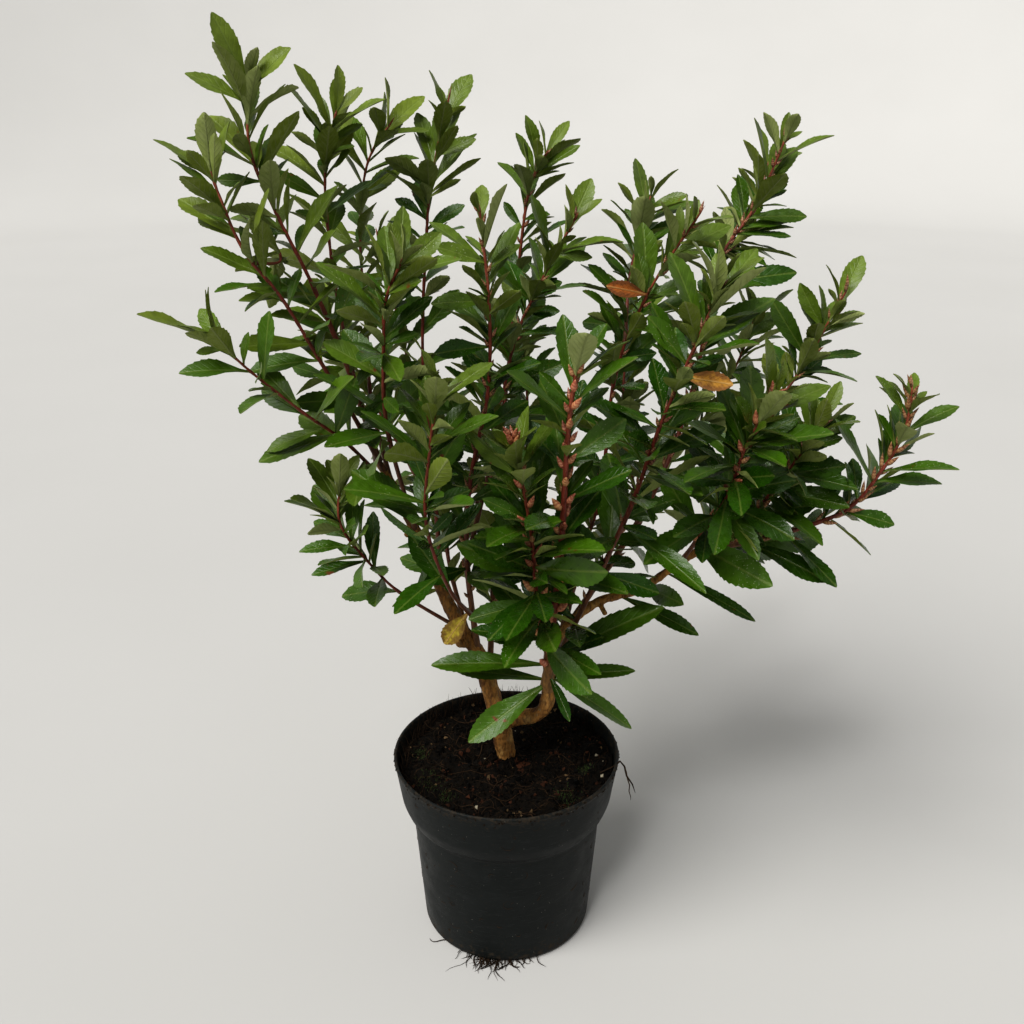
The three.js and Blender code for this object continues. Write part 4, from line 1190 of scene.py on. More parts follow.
@dataclass
class NurseryPot:
    """A round moulded pot: tapered wall, a deep collar with a rolled rim, drain holes in its floor."""

    height: float = 130.0
    rim_radius: float = 75.0
    base_radius: float = 57.0
    collar_height: float = 30.0
    collar_taper: float = 4.5
    shoulder_height: float = 12.0
    shoulder_radius: float = 63.4
    shoulder_swell: float = 4.0
    wall: float = 1.5
    floor: float = 2.5
    corner: float = 2.5
    bend: float = 2.4
    bend_steps: int = 5
    sections: int = 192
    edge_angle: float = 50.0
    drain_holes: int = 8
    drain_radius: float = 4.5
    drain_circle: float = 44.0

    def outside(self) -> list[tuple[float, float]]:
        """Returns the corners of the outside, from the middle of the base up to the rim, as (r, z)."""
        collar_foot = self.height - self.collar_height
        shoulder = collar_foot - self.shoulder_height
        return [
            (self.base_radius - 9, 0.0), (self.base_radius - self.corner, 0.0),
            (self.base_radius, self.corner), (self.shoulder_radius, shoulder),
            (self.shoulder_radius + self.shoulder_swell, shoulder + self.shoulder_swell),
            (self.rim_radius - self.collar_taper, collar_foot),
            (self.rim_radius - 0.5, self.height - 3.2), (self.rim_radius + 0.1, self.height - 2.4),
            (self.rim_radius, self.height),
        ]

    def inside(self) -> list[tuple[float, float]]:
        """Returns the corners of the inside, from the rim down to the middle of the floor."""
        collar_foot = self.height - self.collar_height
        shoulder = collar_foot - self.shoulder_height
        return [
            (self.rim_radius - self.wall - 0.4, self.height),
            (self.rim_radius - self.wall - self.collar_taper, collar_foot),
            (self.shoulder_radius - self.wall, shoulder), (self.base_radius - self.wall, self.floor),
        ]

    def rounded(self, corners: list[tuple[float, float]]) -> Array:
        """Rounds a profile's corners.

        Each corner c gives way to the curve (1-w)^2 a + 2 w (1-w) c + w^2 b between the points a and b
        that lie a bend's length, or half of the side, before and after it.

        Args:
            corners: The profile, whose two ends stay.
        """
        c = np.array(corners, float)
        before, after = c[:-2] - c[1:-1], c[2:] - c[1:-1]
        size = [np.linalg.norm(side, axis=1, keepdims=True) for side in (before, after)]
        a, b = (c[1:-1] + side * np.minimum(self.bend / n, 0.45)
                for side, n in zip((before, after), size))
        w = np.linspace(0, 1, self.bend_steps)[:, None, None]
        arcs = (1 - w) ** 2 * a + 2 * w * (1 - w) * c[1:-1] + w**2 * b
        return np.vstack([c[:1], arcs.transpose(1, 0, 2).reshape(-1, 2), c[-1:]])

    def build(self, material: Material) -> Object:
        """Turns the profile round the axis and cuts the drain holes.

        Args:
            material: The plastic.

        Returns:
            The piece; the part "pot" is hidden in its place.
        """
        profile = self.rounded(self.outside() + self.inside())
        a = np.arange(self.sections) * 2 * np.pi / self.sections
        r, z = profile.T
        rings = around(r[:, None], a, z[:, None])
        surface = Surface()
        surface.add(*closed_rings(rings, np.zeros(3), np.array([0, 0, self.floor])), PLAIN_TONE)
        piece = surface.to_object("nursery_pot", [material])
        cutters = Surface()
        for number in range(self.drain_holes):
            turn = 2 * np.pi * (number + 0.5) / self.drain_holes
            x, y = self.drain_circle * math.cos(turn), self.drain_circle * math.sin(turn)
            z = np.array([-6.0, -6.0, 8.0, 8.0])
            centres = np.column_stack([np.full(4, x), np.full(4, y), z])
            radii = np.full(4, self.drain_radius)
            cutters.add(*sweep(centres, X_AXIS, Y_AXIS, radii, 24), PLAIN_TONE)
        cutter = cutters.to_object("drain_cutter", [material])
        cut = piece.modifiers.new("drains", "BOOLEAN")
        cut.operation = "DIFFERENCE"
        cut.solver = "EXACT"
        cut.object = cutter
        settled(piece)
        bpy.data.objects.remove(cutter)
        piece.data.set_sharp_from_angle(angle=math.radians(self.edge_angle))
        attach(piece, "root")
        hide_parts("pot")
        return piece


@dataclass
class PeatPlug:
    """The root ball: a plug of peat with a rough top, and all that lies on it."""

    pot: NurseryPot
    below_rim: float = 9.0
    bank: float = 3.0
    lump: float = 1.6
    gap: float = 0.35
    rings: int = 96
    sectors: int = 300
    crumb_count: int = 2400
    fibre_count: int = 420
    moss_count: int = 900
    chip_count: int = 26
    edge_count: int = 300
    foot_count: int = 90
    hair_count: int = 240
    strand_points: int = 7
    seed: int = 7

    def top_radius(self) -> float:
        """Returns how far the top reaches, just inside the collar."""
        down = self.below_rim + self.bank + 2 * self.lump
        taper = self.pot.collar_taper / self.pot.collar_height
        return self.pot.rim_radius - self.pot.wall - self.gap - taper * down

    def height(self, x: Array, y: Array) -> Array:
        """Returns the top's height: a bank towards the back, the solid's lumps, and finer noise.

        The finer noise is three sizes of lump, 7, 3 and 1.3 mm, each lower than the one before, and a
        low mound round the trunk.
        """
        coarse = np.sin(x * 0.17 + 1.3) * np.cos(y * 0.21 - 0.4) + 0.5 * np.sin(x * 0.31 - y * 0.27)
        at = np.stack([x, y, np.zeros_like(x)], axis=-1)
        sizes = ((1.3, 7.0, 21), (0.8, 3.0, 22), (0.35, 1.3, 23))
        fine = sum(high * value_noise(at, wide, seed) for high, wide, seed in sizes)
        mound = 3.0 * np.exp(-(x**2 + (y - 3) ** 2) / 160.0)
        level = self.pot.height - self.below_rim + self.bank * y / self.pot.rim_radius
        return level + self.lump * coarse + fine + mound

    def on_top(self, r: Array, a: Array) -> Array:
        """Returns the points of the top at radius r and angle a."""
        x, y = r * np.cos(a), r * np.sin(a)
        return np.stack([x, y, self.height(x, y)], axis=-1)

    def add_plug(self, surface: Surface) -> None:
        """Adds the plug: the top as rings and sectors, then the wall down to the pot's floor."""
        reach = self.top_radius()
        a = np.arange(self.sectors) * 2 * np.pi / self.sectors
        top = self.on_top(reach * np.linspace(0.004, 1, self.rings)[:, None], a)
        wall = self.pot.inside()[1:]
        foot = self.pot.floor + self.gap
        down = [around(w - self.gap, a, z) for w, z in wall[:-1] + [(wall[-1][0], foot)]]
        down.append(down[-1] * [0.02, 0.02, 1.0])
        rings = np.concatenate([top, np.stack(down)])
        peak = self.on_top(np.zeros(1), np.zeros(1))
        points, quads, tris, _ = closed_rings(rings, peak, np.array([0, 0, foot]))
        quads, tris = quads[:, ::-1], tris[:, [0, 2, 1]]
        surface.add(points, quads, tris, points[:, :2] * 0.01, PLAIN_TONE)

    def scattered(self, count: int, luck: np.random.Generator, spread: float = 1.0) -> Array:
        """Returns points on the top, evenly over its area, n by 3."""
        a = luck.uniform(0, 2 * np.pi, count)
        return self.on_top(self.top_radius() * spread * np.sqrt(luck.uniform(0.0, 1, count)), a)

    def add_lumps(self, surface: Surface, at: Array, size: Array, hue: Array,
                  luck: np.random.Generator) -> None:
        """Adds lumps of six corners, each squashed and turned its own way.

        Args:
            surface: Where they go.
            at: Their places, n by 3.
            size: Half of their three sides, n by 3.
            hue: Their hue luck.
            luck: Where shape and turn come from.
        """
        count = len(at)
        corners = np.array([[1, 0, 0], [0, 1, 0], [-1, 0, 0], [0, -1, 0], [0, 0, 1], [0, 0, -1]], float)
        shape = corners * luck.uniform(0.5, 1.2, (count, 6, 1)) * size[:, None]
        turn = np.linalg.qr(luck.normal(size=(count, 3, 3)))[0]
        turn *= np.sign(np.linalg.det(turn))[:, None, None]
        points = np.einsum("nij,nkj->nki", turn, shape) + at[:, None]
        hold_in(points, self.pot.rim_radius - self.pot.wall - 1.4)
        faces = np.array([
            [0, 1, 4], [1, 2, 4], [2, 3, 4], [3, 0, 4], [1, 0, 5], [2, 1, 5], [3, 2, 5], [0, 3, 5],
        ])
        tone = np.column_stack([hue, luck.uniform(0, 1, count), np.ones(count)])
        tone = np.repeat(tone, 6, axis=0)
        flat = points.reshape(-1, 3)
        surface.add(flat, np.empty((0, 4)), copies(faces, count, 6), flat[:, :2] * 0.01, tone)

    def add_crumbs(self, surface: Surface, luck: np.random.Generator) -> None:
        """Adds crumbs all over the top, and chips of bark about the trunk."""
        at = self.scattered(self.crumb_count, luck, 0.985) + [0, 0, 0.15]
        near_wall = np.hypot(at[:, 0], at[:, 1]) > self.top_radius() * 0.94
        at[near_wall] += [0, 0, 0.6]
        size = np.minimum(luck.gamma(3.0, 0.32, self.crumb_count) + 0.25, 2.6)
        size = np.repeat(size[:, None], 3, axis=1)
        self.add_lumps(surface, at, size, luck.uniform(0, 1, self.crumb_count), luck)
        x, y = luck.normal(size=(2, self.chip_count)) * [[3.6], [2.4]] + [[-8.0], [-6.0]]
        x = x + np.where(luck.uniform(0, 1, self.chip_count) > 0.4, 19.0, 0.0)
        chips = np.column_stack([x, y, self.height(x, y) + 0.5])
        size = luck.uniform(0.7, 1.3, (self.chip_count, 1)) * [3.0, 1.6, 0.5]
        self.add_lumps(surface, chips, size, np.full(self.chip_count, 0.93), luck)

    def strands(self, starts: Array, heads: Array, lengths: Array, radius: Array,
                bend: float, lift: Array, luck: np.random.Generator) -> Array:
        """Returns the paths of thin strands over the top, n by "strand_points" by 3.

        Each walks from its start along a heading that turns steadily, and lies on the top, raised by
        its own radius and by lift times sin(pi s).

        Args:
            starts: Start points, n by 3.
            heads: Headings in radians.
            lengths: Lengths in millimetres.
            radius: Radii in millimetres.
            bend: How far a heading may turn in all, in radians.
            lift: How high each arches.
            luck: Where the turns come from.
        """
        s = np.linspace(0, 1, self.strand_points)
        turn = heads[:, None] + luck.uniform(-bend, bend, (len(heads), 1)) * s
        turn = turn + 0.5 * np.sin(s * luck.uniform(2, 9, (len(heads), 1)) + heads[:, None])
        step = (lengths / (self.strand_points - 1))[:, None]
        xy = starts[:, None, :2] + np.cumsum(around(step, turn, 0.0)[..., :2], axis=1)
        hold_in(xy, self.top_radius() - 0.6)
        z = self.height(xy[..., 0], xy[..., 1]) + radius[:, None] * 0.8
        z = z + lift[:, None] * np.sin(np.pi * s)
        return np.concatenate([xy, z[..., None]], axis=-1)

    def add_fibres(self, surface: Surface, luck: np.random.Generator) -> None:
        """Adds fibres and dead rootlets: thin three-sided strands that lie over the top."""
        count = self.fibre_count
        starts = self.scattered(count, luck, 0.95)
        radius = luck.uniform(0.1, 0.3, count)
        lengths = luck.gamma(2.2, 5.0, count) + 4
        lift = luck.uniform(0, 2.2, count) * (luck.uniform(0, 1, count) < 0.4)
        heads = luck.uniform(0, 2 * np.pi, count)
        paths = self.strands(starts, heads, lengths, radius, 1.6, lift, luck)
        add_strands(surface, paths, radius, luck.uniform(0, 1, (count, 2)))

    def add_edge_hairs(self, surface: Surface, luck: np.random.Generator) -> None:
        """Adds dark rootlets that stand up between peat and rim, mostly at the back.

        Each leans in or out by luck and bends over as s^2.
        """
        count = self.edge_count
        a = luck.normal(2.0, 0.75, count)
        r = self.top_radius() - luck.uniform(0.5, 5.0, count)
        foot = self.on_top(r, a) - [0, 0, 0.5]
        s = np.linspace(0, 1, 5)[:, None]
        lean = luck.normal(size=(count, 1, 3)) * [1.6, 1.6, 0.0]
        bend = luck.normal(size=(count, 1, 3)) * [2.2, 2.2, 0.6]
        tall = luck.uniform(4.0, 15.0, (count, 1, 1))
        paths = foot[:, None] + tall * s * [0, 0, 1] + lean * s + bend * s * s
        free = paths[..., 2] > self.pot.height + 0.8
        hold_in(paths, np.where(free, 200.0, self.pot.rim_radius - self.pot.wall - 1.2))
        thick = luck.uniform(0.12, 0.28, count)
        add_strands(surface, paths, thick, luck.uniform(0, 0.5, (count, 2)))

    def add_foot_roots(self, surface: Surface, luck: np.random.Generator) -> None:
        """Adds fine roots that come out under the pot's foot at the front and lie on the ground.

        Each leaves the base outwards, its heading turning by luck, and sinks as (1 - s)^2.
        """
        count = self.foot_count
        a = luck.normal(-1.74, 0.2, count)
        s = np.linspace(0, 1, 7)
        length = luck.gamma(2.0, 2.8, count)[:, None] + 3
        heading = a[:, None] + luck.uniform(-1.5, 1.5, (count, 1)) * s
        heading = heading + 0.4 * np.sin(7 * s + a[:, None] * 40)
        step = np.concatenate([np.zeros((count, 1)), np.repeat(length / 6, 6, axis=1)], axis=1)
        x = 55.0 * np.cos(a)[:, None] + np.cumsum(np.cos(heading) * step, axis=1)
        y = 55.0 * np.sin(a)[:, None] + np.cumsum(np.sin(heading) * step, axis=1)
        thick = luck.uniform(0.15, 0.4, count)
        z = thick[:, None] + luck.uniform(0.2, 2.6, (count, 1)) * (1 - s) ** 2 * (s > 0) + 0.2
        paths = np.stack([x, y, z], axis=-1)
        add_strands(surface, paths, thick, luck.uniform(0, 0.6, (count, 2)))

    def add_pot_hairs(self, surface: Surface, luck: np.random.Generator) -> None:
        """Adds short hairs and crumbs of root that cling to the pot's rim and wall.

        Each lies on the wall's outside at its height, which the pot's profile gives, and bends along it.
        """
        count = self.hair_count
        radii, heights = np.array(self.pot.outside()).T
        z = luck.uniform(12.0, 127.0, count)
        rim = luck.uniform(0, 1, count) < 0.55
        z = np.where(rim, self.pot.height - luck.gamma(1.5, 1.2, count) - 0.6, z)
        a = luck.uniform(0, 2 * np.pi, count)
        s = np.linspace(-0.5, 0.5, 5)
        long = np.where(rim, luck.uniform(0.8, 2.6, count), luck.gamma(2.0, 2.0, count) + 1)[:, None]
        heading = luck.uniform(0, np.pi, (count, 1)) + luck.normal(size=(count, 1)) * 1.6 * s
        up = z[:, None] + long * s * np.sin(heading)
        up = np.minimum(up, self.pot.height - 0.4)
        r = np.interp(up, heights, radii) + 0.12
        turn = a[:, None] + long * s * np.cos(heading) / r
        paths = around(r, turn, up)
        thick = np.where(rim, luck.uniform(0.25, 0.6, count), luck.uniform(0.08, 0.16, count))
        hue = np.where(rim, 0.2, 1.0)
        add_strands(surface, paths, thick, np.column_stack([hue, luck.uniform(0, 1, count)]))

    def add_rim_root(self, surface: Surface, luck: np.random.Generator) -> None:
        """Adds the root that has grown over the rim at the right, with a side root."""
        paths = np.array([
            [(62, -14, 121), (70, -15, 126), (74.6, -16, 131.4), (77.5, -17, 128), (79, -19, 122),
             (83, -20, 116), (85, -21, 110)],
            [(77.5, -17, 128), (78.6, -20, 126), (79, -23, 123), (80.5, -25, 119), (80, -27, 116),
             (81, -29, 113), (81, -30, 111)],
        ], float)
        add_strands(surface, paths, np.array([0.75, 0.45]), luck.uniform(0.2, 0.5, (2, 2)))

    def add_moss(self, surface: Surface, luck: np.random.Generator) -> None:
        """Adds moss: tufts of three-sided blades in a few patches, thinning out from each middle."""
        patches = np.array([
            [-50, -22, 11], [-38, -36, 7], [38, -38, 9], [52, -10, 6], [-58, 8, 7], [20, 48, 9],
        ])
        pick = luck.integers(0, len(patches), self.moss_count)
        spread = luck.normal(size=(self.moss_count, 2)) * patches[pick, 2:] * 0.45
        xy = patches[pick, :2] + spread
        hold_in(xy, self.top_radius() - 1.5)
        foot = np.column_stack([xy, self.height(*xy.T) - 0.2])
        lean = luck.normal(size=(self.moss_count, 3)) * [0.5, 0.5, 0.2] + [0, 0, 1]
        tall = luck.uniform(0.9, 2.4, (self.moss_count, 1))
        tip = foot + unit(lean) * tall
        a = np.arange(3) * 2 * np.pi / 3 + luck.uniform(0, 6, (self.moss_count, 1))
        wide = luck.uniform(0.2, 0.42, (self.moss_count, 1))
        base = foot[:, None] + around(wide, a, 0.0)
        points = np.concatenate([base, tip[:, None]], axis=1).reshape(-1, 3)
        faces = np.array([[0, 1, 3], [1, 2, 3], [2, 0, 3], [2, 1, 0]])
        tris = copies(faces, self.moss_count, 4)
        tone = np.column_stack([luck.uniform(0, 1, (self.moss_count, 2)), np.zeros(self.moss_count)])
        tone = np.repeat(tone, 4, axis=0)
        surface.add(points, np.empty((0, 4)), tris, points[:, :2] * 0.01, tone, 0, 1)

    def build(self, peat: Material, moss: Material) -> list[Object]:
        """Builds the plug with its crumbs, and the loose fibres and moss on it.

        Args:
            peat: The peat.
            moss: The moss.

        Returns:
            The pieces; the first is the plug, and the part "soil" is hidden in its place.
        """
        luck = np.random.default_rng(self.seed)
        plug = Surface()
        self.add_plug(plug)
        self.add_crumbs(plug, luck)
        soil = plug.to_object("peat_plug", [peat])
        loose = Surface()
        self.add_fibres(loose, luck)
        self.add_moss(loose, luck)
        self.add_edge_hairs(loose, luck)
        self.add_foot_roots(loose, luck)
        self.add_rim_root(loose, luck)
        self.add_pot_hairs(loose, luck)
        cover = loose.to_object("fibres_and_moss", [peat, moss])
        for piece in (soil, cover):
            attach(piece, "root")
        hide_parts("soil")
        return [soil, cover]


def add_strands(surface: Surface, paths: Array, radius: Array, luck: Array) -> None:
    """Adds thin strands, each a triangle carried along its path and closed to a point at both ends.

    Args:
        surface: Where they go.
        paths: The strands' points, n by steps by 3.
        radius: Their radii.
        luck: Two numbers from 0 to 1 for each, for hue and value.
    """
    count, steps, _ = paths.shape
    along = unit(np.gradient(paths, axis=1))
    side = unit(np.cross(along, np.array([0.13, 0.21, 1.0])))
    front = np.cross(along, side)
    a = np.arange(3) * 2 * np.pi / 3
    across = side[:, :, None] * np.cos(a)[:, None] + front[:, :, None] * np.sin(a)[:, None]
    taper = np.sqrt(np.clip(1 - np.linspace(-0.55, 1, steps) ** 2, 0.05, 1))
    rings = paths[:, :, None] + across * (radius[:, None] * taper)[:, :, None, None]
    points = rings.reshape(-1, 3)
    quads = copies(grid(steps, 3, closed=True), count, steps * 3)
    ends = np.array([[0, 2, 1], [steps * 3 - 3, steps * 3 - 2, steps * 3 - 1]])
    tris = copies(ends, count, steps * 3)
    tone = np.repeat(np.column_stack([luck, np.full(count, 0.5)]), steps * 3, axis=0)
    run = np.tile(np.repeat(np.linspace(0, 1, steps), 3), count)
    uv = np.column_stack([run, np.tile([0, 0.33, 0.66], count * steps)])
    surface.add(points, quads, tris, uv, tone)


Feed = float | Colour | Socket


class Recipe:
    """A material in the making: each call adds a node and returns what comes out of it."""

    def __init__(self, name: str, specular: float = 0.5) -> None:
        """Starts from a plain shader, with what patterns are read from: place, uv and the tone.

        Args:
            name: The material's name.
            specular: The strength of its gloss.
        """
        self.material = bpy.data.materials.new(name)
        self.material.use_nodes = True
        self.nodes = self.material.node_tree.nodes
        self.links = self.material.node_tree.links
        self.shader = self.nodes["Principled BSDF"]
        self.shader.inputs["Specular IOR Level"].default_value = specular
        self.place = self.add("ShaderNodeTexCoord").outputs["Object"]
        run = self.add("ShaderNodeSeparateXYZ", self.add("ShaderNodeUVMap", uv_map="uv").outputs[0])
        self.u, self.v = run.outputs[:2]
        tone = self.add("ShaderNodeAttribute", attribute_name="tone").outputs["Color"]
        self.hue, self.value, self.age = self.add("ShaderNodeSeparateColor", tone).outputs[:3]

    def add(self, kind: str, *feeds: Feed | None, **settings) -> bpy.types.Node:
        """Adds a node.

        Args:
            kind: Its type.
            feeds: What goes into its sockets in their order; None leaves one as it is.
            settings: Its properties.
        """
        node = self.nodes.new(kind)
        for key, value in settings.items():
            setattr(node, key, value)
        for socket, feed in zip(node.inputs, feeds):
            self.feed(socket, feed)
        return node

    def feed(self, socket: Socket, feed: Feed | None) -> None:
        """Links or sets a socket."""
        if isinstance(feed, Socket):
            self.links.new(feed, socket)
        elif isinstance(feed, tuple) and socket.type == "RGBA":
            socket.default_value = (*feed, 1.0)
        elif feed is not None:
            socket.default_value = feed

    def math(self, operation: str, a: Feed, b: Feed = 0.0) -> Socket:
        """Returns a and b put together by a Math operation."""
        return self.add("ShaderNodeMath", a, b, operation=operation).outputs[0]

    def times(self, a: Feed, b: Feed) -> Socket:
        """Returns a times b."""
        return self.math("MULTIPLY", a, b)

    def between(self, value: Feed, low: float, high: float, a: float = 0.0,
                b: float = 1.0) -> Socket:
        """Returns a below low, b above high, and a smooth step between."""
        smooth = {"interpolation_type": "SMOOTHSTEP"}
        return self.add("ShaderNodeMapRange", value, low, high, a, b, **smooth).outputs[0]

    def noise(self, size: float, detail: float = 2.0, stretch: Point = (1, 1, 1), rough: float = 0.5,
              warp: float = 0.0) -> Socket:
        """Returns noise from 0 to 1 with lumps of "size" millimetres, times stretch along each axis."""
        scale = tuple(1 / s for s in stretch)
        place = self.add("ShaderNodeMapping", self.place, None, None, scale).outputs[0]
        node = self.add("ShaderNodeTexNoise", place, None, 1 / (size * MM), detail, rough)
        node.inputs["Distortion"].default_value = warp
        return node.outputs["Fac"]

    def cells(self, size: float) -> Socket:
        """Returns the distance to the nearest of scattered points, about "size" millimetres apart."""
        return self.add("ShaderNodeTexVoronoi", self.place, None, 1 / (size * MM)).outputs[0]

    def ramp(self, value: Feed, *stops: tuple[float, Colour], step: bool = False) -> Socket:
        """Returns the colour at a value, between stops or, with step, of the stop before."""
        node = self.add("ShaderNodeValToRGB", value)
        ramp = node.color_ramp
        ramp.interpolation = "CONSTANT" if step else "EASE"
        for _ in stops[2:]:
            ramp.elements.new(1.0)
        for element, (at, colour) in zip(ramp.elements, stops):
            element.position = at
            element.color = (*colour, 1.0)
        return node.outputs[0]

    def blend(self, share: Feed, a: Feed, b: Feed) -> Socket:
        """Returns colour a turned into b by a share."""
        node = self.add("ShaderNodeMix", share, data_type="RGBA")
        self.feed(node.inputs[6], a)
        self.feed(node.inputs[7], b)
        return node.outputs[2]

    def shade(self, colour: Feed, amount: Feed) -> Socket:
        """Returns a colour made lighter or darker by a factor."""
        return self.add("ShaderNodeVectorMath", colour, None, None, amount, operation="SCALE").outputs[0]

    def finish(self, colour: Feed, roughness: Feed, height: Feed, rise: float,
               strength: float = 1.0) -> Material:
        """Feeds the shader.

        Args:
            colour: Base colour.
            roughness: Roughness.
            height: What the relief follows.
            rise: The relief's height in millimetres.
            strength: How much of it shows.

        Returns:
            The material.
        """
        bump = self.add("ShaderNodeBump", strength, rise * MM)
        self.feed(bump.inputs["Height"], height)
        self.feed(self.shader.inputs["Base Color"], colour)
        self.feed(self.shader.inputs["Roughness"], roughness)
        self.links.new(bump.outputs[0], self.shader.inputs["Normal"])
        return self.material

    def total(self, *parts: Feed) -> Socket:
        """Returns the sum of the parts."""
        out = parts[0]
        for part in parts[1:]:
            out = self.math("ADD", out, part)
        return out

    def veins(self) -> tuple[Socket, Socket]:
        """Returns masks of a leaf's midrib and of its side veins.

        With w = 2 |v - 1/2| and h = sin(pi u^fullness), the midrib is where w h is small, and a side
        vein is where their number times (u - 0.2 w h - 0.05 w^2), plus a half on one side of the
        leaf, is near a whole number.
        """
        w = self.times(self.math("ABSOLUTE", self.math("SUBTRACT", self.v, 0.5)), 2.0)
        wide = self.math("SINE", self.times(self.math("POWER", self.u, LEAF_FULLNESS), math.pi))
        out = self.times(w, self.math("MAXIMUM", wide, 0.15))
        midrib = self.between(out, 0.03, 0.11, 1.0, 0.0)
        lean = self.total(self.times(out, 0.2), self.times(self.math("POWER", w, 2.0), 0.05))
        run = self.times(self.math("SUBTRACT", self.u, lean), SIDE_VEINS)
        run = self.total(run, self.times(self.math("GREATER_THAN", self.v, 0.5), 0.5))
        away = self.math("ABSOLUTE", self.math("SUBTRACT", self.math("FRACT", run), 0.5))
        vein = self.between(away, 0.03, 0.17, 1.0, 0.0)
        return midrib, self.times(vein, self.between(w, 0.55, 1.0, 1.0, 0.25))


@dataclass(frozen=True)
class LeafFace:
    """The upper side of a leaf: green, a little glossy, with a pale midrib and fine speckles."""

    name: str = "leaf_upper_side"
    dark: Colour = (0.017, 0.060, 0.002)
    middle: Colour = (0.042, 0.096, 0.003)
    light: Colour = (0.124, 0.162, 0.010)
    young: Colour = (0.142, 0.180, 0.022)
    rib: Colour = (0.150, 0.200, 0.040)
    speck: Colour = (0.420, 0.440, 0.300)
    blotch: Colour = (0.150, 0.030, 0.010)
    gloss: tuple[float, float] = (0.13, 0.32)
    dull: float = 0.30
    shine: float = 0.32

    def make(self) -> Material:
        """Mixes the colour from the leaf's tone and lays veins, mottling and specks over it."""
        r = Recipe(self.name, self.shine)
        midrib, vein = r.veins()
        colour = r.ramp(r.hue, (0.0, self.dark), (0.5, self.middle), (1.0, self.light))
        colour = r.blend(r.times(r.age, 0.7), colour, self.young)
        mottle = r.noise(5.0, 4.0)
        colour = r.shade(colour, r.total(r.between(mottle, 0.3, 0.7, 0.78, 1.1), r.times(r.value, 0.25)))
        colour = r.blend(r.times(vein, 0.05), colour, self.rib)
        colour = r.blend(r.times(midrib, 0.42), colour, self.rib)
        fine = r.noise(0.9, 2.0)
        dots = r.between(r.cells(1.5), 0.10, 0.22, 0.65, 0.0)
        dots = r.times(dots, r.between(r.noise(14.0), 0.46, 0.62))
        colour = r.blend(r.times(dots, r.between(r.value, 0.3, 0.6)), colour, self.speck)
        colour = r.blend(r.between(r.noise(11.0, 3.0), 0.70, 0.76, 0.0, 0.85), colour, self.blotch)
        height = r.total(
            r.times(vein, -0.3), r.times(midrib, -0.8), r.times(fine, 0.35),
            r.times(mottle, 1.4),
        )
        rough = r.total(r.between(mottle, 0.25, 0.75, *self.gloss), r.times(r.hue, self.dull))
        return r.finish(colour, rough, height, 0.35, 0.7)


@dataclass(frozen=True)
class LeafBack:
    """The underside of a leaf: paler, greyer and dull, with raised veins."""

    name: str = "leaf_underside"
    green: Colour = (0.140, 0.182, 0.022)
    grey: Colour = (0.290, 0.330, 0.130)
    rib: Colour = (0.210, 0.240, 0.090)

    def make(self) -> Material:
        """Mixes two greens by noise and lays the veins over them."""
        r = Recipe(self.name, 0.2)
        midrib, vein = r.veins()
        pale = r.total(r.math("POWER", r.value, 2.0), r.between(r.noise(4.0, 3.0), 0.3, 0.7, -0.15, 0.2))
        colour = r.blend(pale, self.green, self.grey)
        colour = r.blend(r.times(vein, 0.35), colour, self.rib)
        colour = r.blend(r.times(midrib, 0.8), colour, self.rib)
        height = r.total(r.times(vein, 0.7), midrib, r.times(r.noise(0.7), 0.4))
        return r.finish(colour, r.between(r.noise(2.0), 0.2, 0.8, 0.62, 0.8), height, 0.3, 0.8)


@dataclass(frozen=True)
class WitheredLeaf:
    """A dead leaf: orange-brown, darker and blotched along its edge."""

    name: str = "withered_leaf"
    orange: Colour = (0.420, 0.130, 0.022)
    yellow: Colour = (0.480, 0.380, 0.040)
    brown: Colour = (0.130, 0.050, 0.018)
    rib: Colour = (0.500, 0.300, 0.110)

    def make(self) -> Material:
        """Mixes orange and brown by noise that gets darker towards the edge."""
        r = Recipe(self.name, 0.3)
        midrib, vein = r.veins()
        edge = r.times(r.math("ABSOLUTE", r.math("SUBTRACT", r.v, 0.5)), 0.9)
        dark = r.between(r.total(r.noise(3.0, 4.0), edge), 0.45, 0.9)
        colour = r.blend(r.between(r.value, 0.6, 0.8), self.orange, self.yellow)
        colour = r.blend(r.times(dark, 0.8), colour, self.brown)
        colour = r.blend(r.times(midrib, 0.6), colour, self.rib)
        height = r.total(r.times(vein, 0.5), midrib, r.noise(1.4, 3.0))
        return r.finish(colour, r.between(r.noise(2.0), 0.2, 0.8, 0.55, 0.8), height, 0.5, 0.8)


@dataclass(frozen=True)
class StemSkin:
    """A young stem: brown bark that turns dark red and then bright red at the tip, with pale dots."""

    name: str = "stem_bark"
    wood: Colour = (0.180, 0.095, 0.030)
    foot: Colour = (0.110, 0.042, 0.016)
    middle: Colour = (0.165, 0.028, 0.016)
    tip: Colour = (0.210, 0.050, 0.024)
    dot: Colour = (0.220, 0.130, 0.070)

    def make(self) -> Material:
        """Runs the colour along the stem and adds streaks and dots."""
        r = Recipe(self.name, 0.4)
        colour = r.ramp(r.hue, (0.0, self.foot), (0.45, self.middle), (1.0, self.tip))
        woody = r.times(r.between(r.age, 0.4, 0.95, 1.0, 0.0), r.between(r.hue, 0.02, 0.24, 1.0, 0.0))
        colour = r.blend(woody, colour, self.wood)
        streak = r.noise(1.6, 3.0, (1, 1, 4))
        colour = r.shade(colour, r.between(streak, 0.3, 0.75, 0.6, 1.35))
        dots = r.between(r.cells(1.7), 0.12, 0.24, 1.0, 0.0)
        colour = r.blend(r.times(dots, 0.55), colour, self.dot)
        height = r.total(streak, r.times(dots, 0.6))
        return r.finish(colour, r.between(streak, 0.2, 0.8, 0.42, 0.65), height, 0.25, 0.8)


